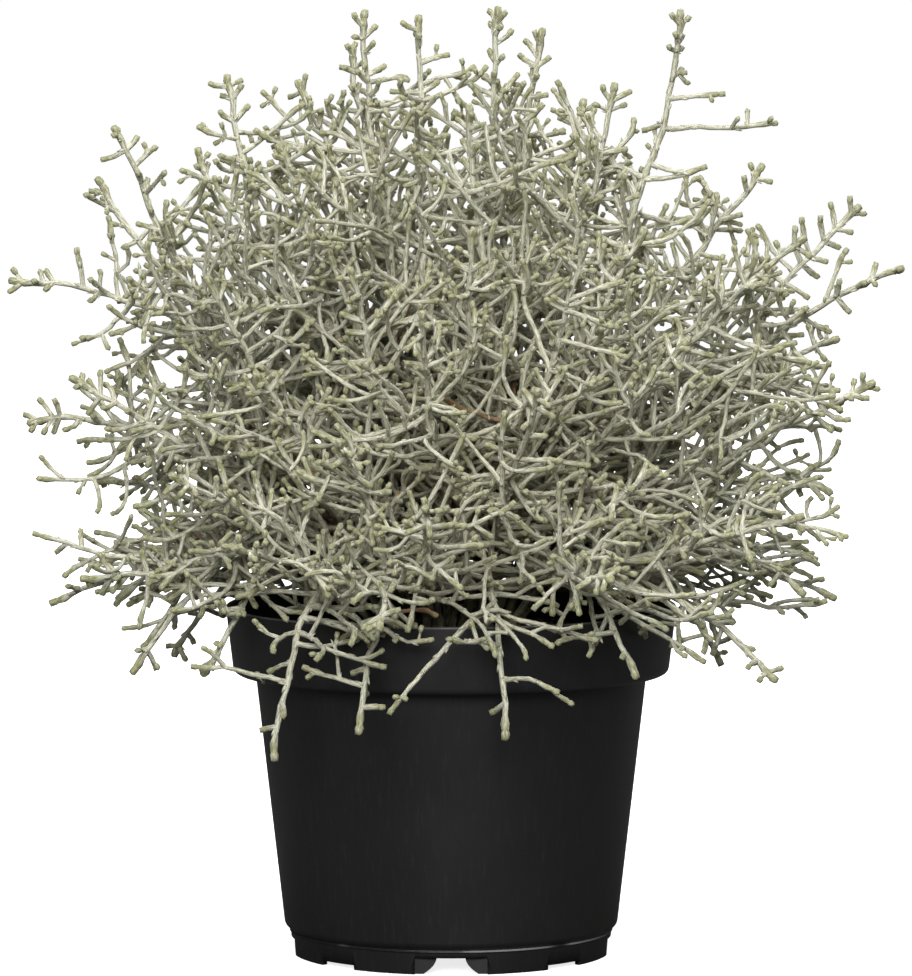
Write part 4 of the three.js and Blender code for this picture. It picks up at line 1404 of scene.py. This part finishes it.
def notches(width, height, turn):
    """Blocks set round the foot, to be cut away from it."""
    doubled = calc(tree, "MULTIPLY", height, 2.0)
    block_size = get(tree, "ShaderNodeCombineXYZ", {0: CUTTER_DEPTH, 1: width, 2: doubled})
    block = get(tree, "GeometryNodeMeshCube", {"Size": block_size}, "Mesh")
    mid_foot = calc(tree, "SUBTRACT", given["Foot radius"], HALF_FOOT_WALL)
    return around(block, mid_foot, calc(tree, "DIVIDE", given["Notches"], 2.0), turn)


deep = notches(given["Deep width"], given["Deep height"], 0.0)
shallow = notches(given["Shallow width"], given["Shallow height"], math.pi / 4)
drilled = {"Vertices": DRILL_SIDES, "Radius": given["Drain radius"], "Depth": DRILL_DEPTH}
drill = get(tree, "GeometryNodeMeshCylinder", drilled, "Mesh")
drill = get(tree, "GeometryNodeTransform", {"Geometry": drill, "Translation": (0, 0, DRILL_HEIGHT)})
cut = given["Start"]
for cutter in (deep, shallow, around(drill, given["Drain ring"], given["Notches"])):
    boolean = add(tree, "GeometryNodeMeshBoolean", {"Mesh 1": cut}, operation="DIFFERENCE", solver="EXACT")
    tree.links.new(cutter, boolean.inputs["Mesh 2"])
    cut = boolean.outputs["Mesh"]
end_tree(tree, cut, given["Plastic"])
pot = run_tree(pot_body, cut_tree, {
    "Notches": 8, "Foot radius": 0.0424, "Deep width": 0.019, "Deep height": 0.0045, "Shallow width": 0.012,
    "Shallow height": 0.0013, "Drain ring": 0.031, "Drain radius": 0.004, "Plastic": black_plastic,
}, "pot_shell")
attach(pot, "root")
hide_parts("pot")
print("pot triangles:", triangles(pot))

# %% [markdown]
# ### Cheeks behind the deep notches
# Through each deep notch two rounded cheeks show, webs that stiffen the foot from behind. A plain cut
# would leave a bare rectangle there. Each cheek is an outline in the plane of the notch, with a curved
# inner edge, made as thick as the web and set a little into the foot and the floor.

# %% The cheeks
CHEEK_TOP = 3.7
CHEEK_FOOT = 7.2
CHEEK_OUT = 10.4
CHEEK_LOW = 0.15
CHEEK_HEIGHT = 4.9
CHEEK_SPAN = (37.6, 40.9)
CHEEK_BENDS = 8
CHEEK_BULGE = 2.2


def cheek_outline():
    """Across and up, in mm: the curved inner edge from the ground up, then the hidden outer corners."""
    edge = []
    for share in np.linspace(0, 1, CHEEK_BENDS):
        bulge = 1 - (1 - share) ** CHEEK_BULGE
        across = CHEEK_FOOT + (CHEEK_TOP - CHEEK_FOOT) * bulge
        edge.append((across, CHEEK_LOW + (CHEEK_HEIGHT - CHEEK_LOW) * share))
    return [*edge, (CHEEK_OUT, CHEEK_HEIGHT), (CHEEK_OUT, CHEEK_LOW)]


whole = bmesh.new()
for quarter, side in itertools.product(range(4), (-1, 1)):
    rings = []
    for reach in CHEEK_SPAN:
        ring = []
        for across, up in cheek_outline():
            place = Vector((reach * MM, side * across * MM, up * MM))
            place.rotate(Euler((0, 0, quarter * math.pi / 2)))
            ring.append(whole.verts.new(place))
        whole.faces.new(ring)
        rings.append(ring)
    inner, outer = rings
    for k in range(len(inner)):
        after = (k + 1) % len(inner)
        whole.faces.new((inner[k], inner[after], outer[after], outer[k]))
cheeks = keep_mesh("foot_cheeks", whole)
cheeks.data.materials.append(black_plastic)
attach(cheeks, "root")
print("cheek triangles:", triangles(cheeks))

# %% [markdown]
# ## The compost
# Dark, crumbly compost fills the pot to a little under the rim. A noise pattern alone looks like paint
# from close by. So the fine surface is a gently heaped disc, and a tree of nodes strews small lumps and
# a few fibres over it, many times the same few shapes, turned and sized by chance with a fixed seed.

# %% The compost's look and its body
compost, tree, shader = new_material("compost", {"Roughness": 0.95, "Specular IOR Level": 0.15})
spot = get(tree, "ShaderNodeTexCoord", which="Object")
coarse = noise(tree, spot, 260.0, 4.0, 0.65)
fine = noise(tree, spot, 1400.0, 3.0, 0.7)
earth = mix(tree, span(tree, coarse, 0.35, 0.68), tint(26, 19, 14), tint(66, 50, 37))
flecked = mix(tree, span(tree, fine, 0.62, 0.72, 0.0, 0.7), earth, tint(112, 88, 62))
tree.links.new(flecked, shader.inputs["Base Color"])
bump(tree, shader, fine, 0.9, 0.001)

# Corners of the outline in mm, as for the pot: the sides, and then rings over the top.
HEAP_SIDE = [(0, 6.5, 0), (40.6, 6.5, 0.5), (42.7, 8.8, 0.5), (50.5, 76.2, 0), (50.5, 76.8, 0)]
HEAP_SHOULDER = [(54.6, 76.8, 0.4), (56.0, 78.3, 0.4), (56.7, 82.8, 0.8)]
HEAP_TOP = [(radius, SOIL_LEVEL, 0) for radius in (48, 36, 24, 11, 0)]
HEAP_BENDS = 3
HEAP_SIDES = 96
heap = spun_mesh("heap", rounded(HEAP_SIDE + HEAP_SHOULDER + HEAP_TOP, HEAP_BENDS), HEAP_SIDES)
for corner in heap.data.vertices:
    x, y, z = (value / MM for value in corner.co)
    if z > SOIL_LEVEL - 0.6:
        swell = math.sin(0.31 * x + 1.3) * math.cos(0.27 * y - 0.4) + math.sin(0.13 * x - 0.19 * y)
        corner.co.z = (SOIL_LEVEL + SOIL_RIPPLE * swell) * MM
print("compost triangles before the crumbs:", triangles(heap))

# %% Strewing the crumbs
CRUMB_SIZES = (1.0, 1.0, 0.8)
FIBRE_SIZES = (5.0, 0.45, 0.8)
STREWN_FROM = 0.0822


def lump(name, sizes, seed):
    """An uneven little ball, squashed or drawn out along each axis."""
    whole = bmesh.new()
    bmesh.ops.create_icosphere(whole, subdivisions=1, radius=1.0)
    draw = drawer(seed)
    for corner in whole.verts:
        corner.co *= 0.75 + 0.5 * draw()
        for axis, size in enumerate(sizes):
            corner.co[axis] *= size
    return keep_mesh(name, whole)


crumb = lump("crumb", CRUMB_SIZES, 5)
fibre = lump("fibre", FIBRE_SIZES, 6)
crumb_tree, given = new_tree("crumbs", {
    "Density": "Float", "Smallest": "Float", "Largest": "Float", "Crumb": "Object", "Fibre": "Object",
    "Fibre density": "Float", "Compost": "Material", "Seed": "Int",
})
tree = crumb_tree
on_top = is_over(tree, parts_of(tree, get(tree, "GeometryNodeInputPosition"))[2], STREWN_FROM)


def strewn(shape, density, low, high, seed_shift):
    """Copies of a shape all over the top, each lying nearly flat and turned by chance."""
    seed = calc(tree, "ADD", given["Seed"], seed_shift)
    sockets = {"Mesh": given["Start"], "Selection": on_top, "Density": density, "Seed": seed}
    points = get(tree, "GeometryNodeDistributePointsOnFaces", sockets, "Points")
    sockets = {0: (-0.5, -0.5, 0.0), 1: (0.5, 0.5, 6.283), "Seed": seed}
    angles = get(tree, "FunctionNodeRandomValue", sockets, data_type="FLOAT_VECTOR")
    turn = get(tree, "FunctionNodeEulerToRotation", {0: angles})
    return placed(tree, points, shape_of(tree, shape), turn, Scale=random_between(tree, low, high, seed))


crumbs = strewn(given["Crumb"], given["Density"], given["Smallest"], given["Largest"], 1)
fibres = strewn(given["Fibre"], given["Fibre density"], given["Smallest"], given["Smallest"], 2)
end_tree(tree, joined(tree, fibres, crumbs, given["Start"]), given["Compost"])
soil = run_tree(heap, crumb_tree, {
    "Density": 170000.0, "Smallest": 0.0006, "Largest": 0.0015, "Crumb": crumb, "Fibre": fibre,
    "Fibre density": 26000.0, "Compost": compost, "Seed": 4,
}, "compost_fill")
for shape in (crumb, fibre):
    bpy.data.objects.remove(shape)
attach(soil, "root")
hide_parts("soil")
print("compost triangles:", triangles(soil))

# %% [markdown]
# ## Floor, light and camera
# The photograph is a studio picture on plain white, lit softly from the front and above. A large pale
# floor, one broad lamp beside the camera, one above and a weaker one behind give the same light.

# %% Floor
bpy.ops.mesh.primitive_plane_add(size=8.0, location=(0, 0, 0))
floor = bpy.context.object
floor.name = "floor"
pale, tree, shader = new_material("pale_floor", {
    "Roughness": 0.9, "Specular IOR Level": 0.0, "Emission Color": (1, 1, 1, 1),
})
seen = get(tree, "ShaderNodeLightPath", which="Is Camera Ray")
tree.links.new(mix(tree, seen, tint(85, 85, 84), tint(246, 246, 245)), shader.inputs["Base Color"])
spot = get(tree, "ShaderNodeTexCoord", which="Object")
distance = get(tree, "ShaderNodeVectorMath", {0: spot}, "Value", operation="LENGTH")
glow = span(tree, distance, 0.1, 0.8, 0.8, 1.0)
tree.links.new(calc(tree, "MULTIPLY", seen, glow), shader.inputs["Emission Strength"])
floor.data.materials.append(pale)


# %% Lamps and surroundings
def softbox(name, place, target_height, size, power):
    """A square lamp that points at a height over the middle of the pot."""
    lamp = bpy.data.lights.new(name, "AREA")
    lamp.shape = "RECTANGLE"
    lamp.size = lamp.size_y = size
    lamp.energy = power
    made = bpy.data.objects.new(name, lamp)
    bpy.context.collection.objects.link(made)
    made.location = place
    aim = Vector((0, 0, target_height)) - Vector(place)
    made.rotation_euler = aim.to_track_quat("-Z", "Y").to_euler()


softbox("front_light", (-0.2, -1.95, 0.95), 0.13, 0.9, 52)
softbox("top_light", (0.1, -0.3, 1.6), 0.1, 1.0, 23)
softbox("back_light", (0.5, 1.7, 1.3), 0.13, 0.9, 18)
world = bpy.data.worlds.new("studio")
bpy.context.scene.world = world
world.use_nodes = True
tree = world.node_tree
tree.nodes.clear()
lit, seen = [get(tree, "ShaderNodeBackground", {"Color": (1, 1, 1, 1), "Strength": strength})
             for strength in (0.03, 1.0)]
camera_ray = get(tree, "ShaderNodeLightPath", which="Is Camera Ray")
both = get(tree, "ShaderNodeMixShader", {0: camera_ray, 1: lit, 2: seen})
add(tree, "ShaderNodeOutputWorld", {0: both})
bpy.context.scene.view_settings.view_transform = "Standard"
print("lamps:", len(bpy.data.lights))

# %% Camera
CAMERA_PLACE = (0.0013, -1.640, 0.256)
CAMERA_DIP = 0.0803
CAMERA_LENS = 228.3
lens = bpy.data.cameras.new("camera")
lens.lens = CAMERA_LENS
lens.sensor_width = 36.0
lens.clip_start = 0.05
camera = bpy.data.objects.new("camera", lens)
bpy.context.collection.objects.link(camera)
camera.location = CAMERA_PLACE
camera.rotation_euler = (math.pi / 2 - CAMERA_DIP, 0, 0)
bpy.context.scene.camera = camera
print("camera at", CAMERA_PLACE, "with a lens of", CAMERA_LENS, "mm")
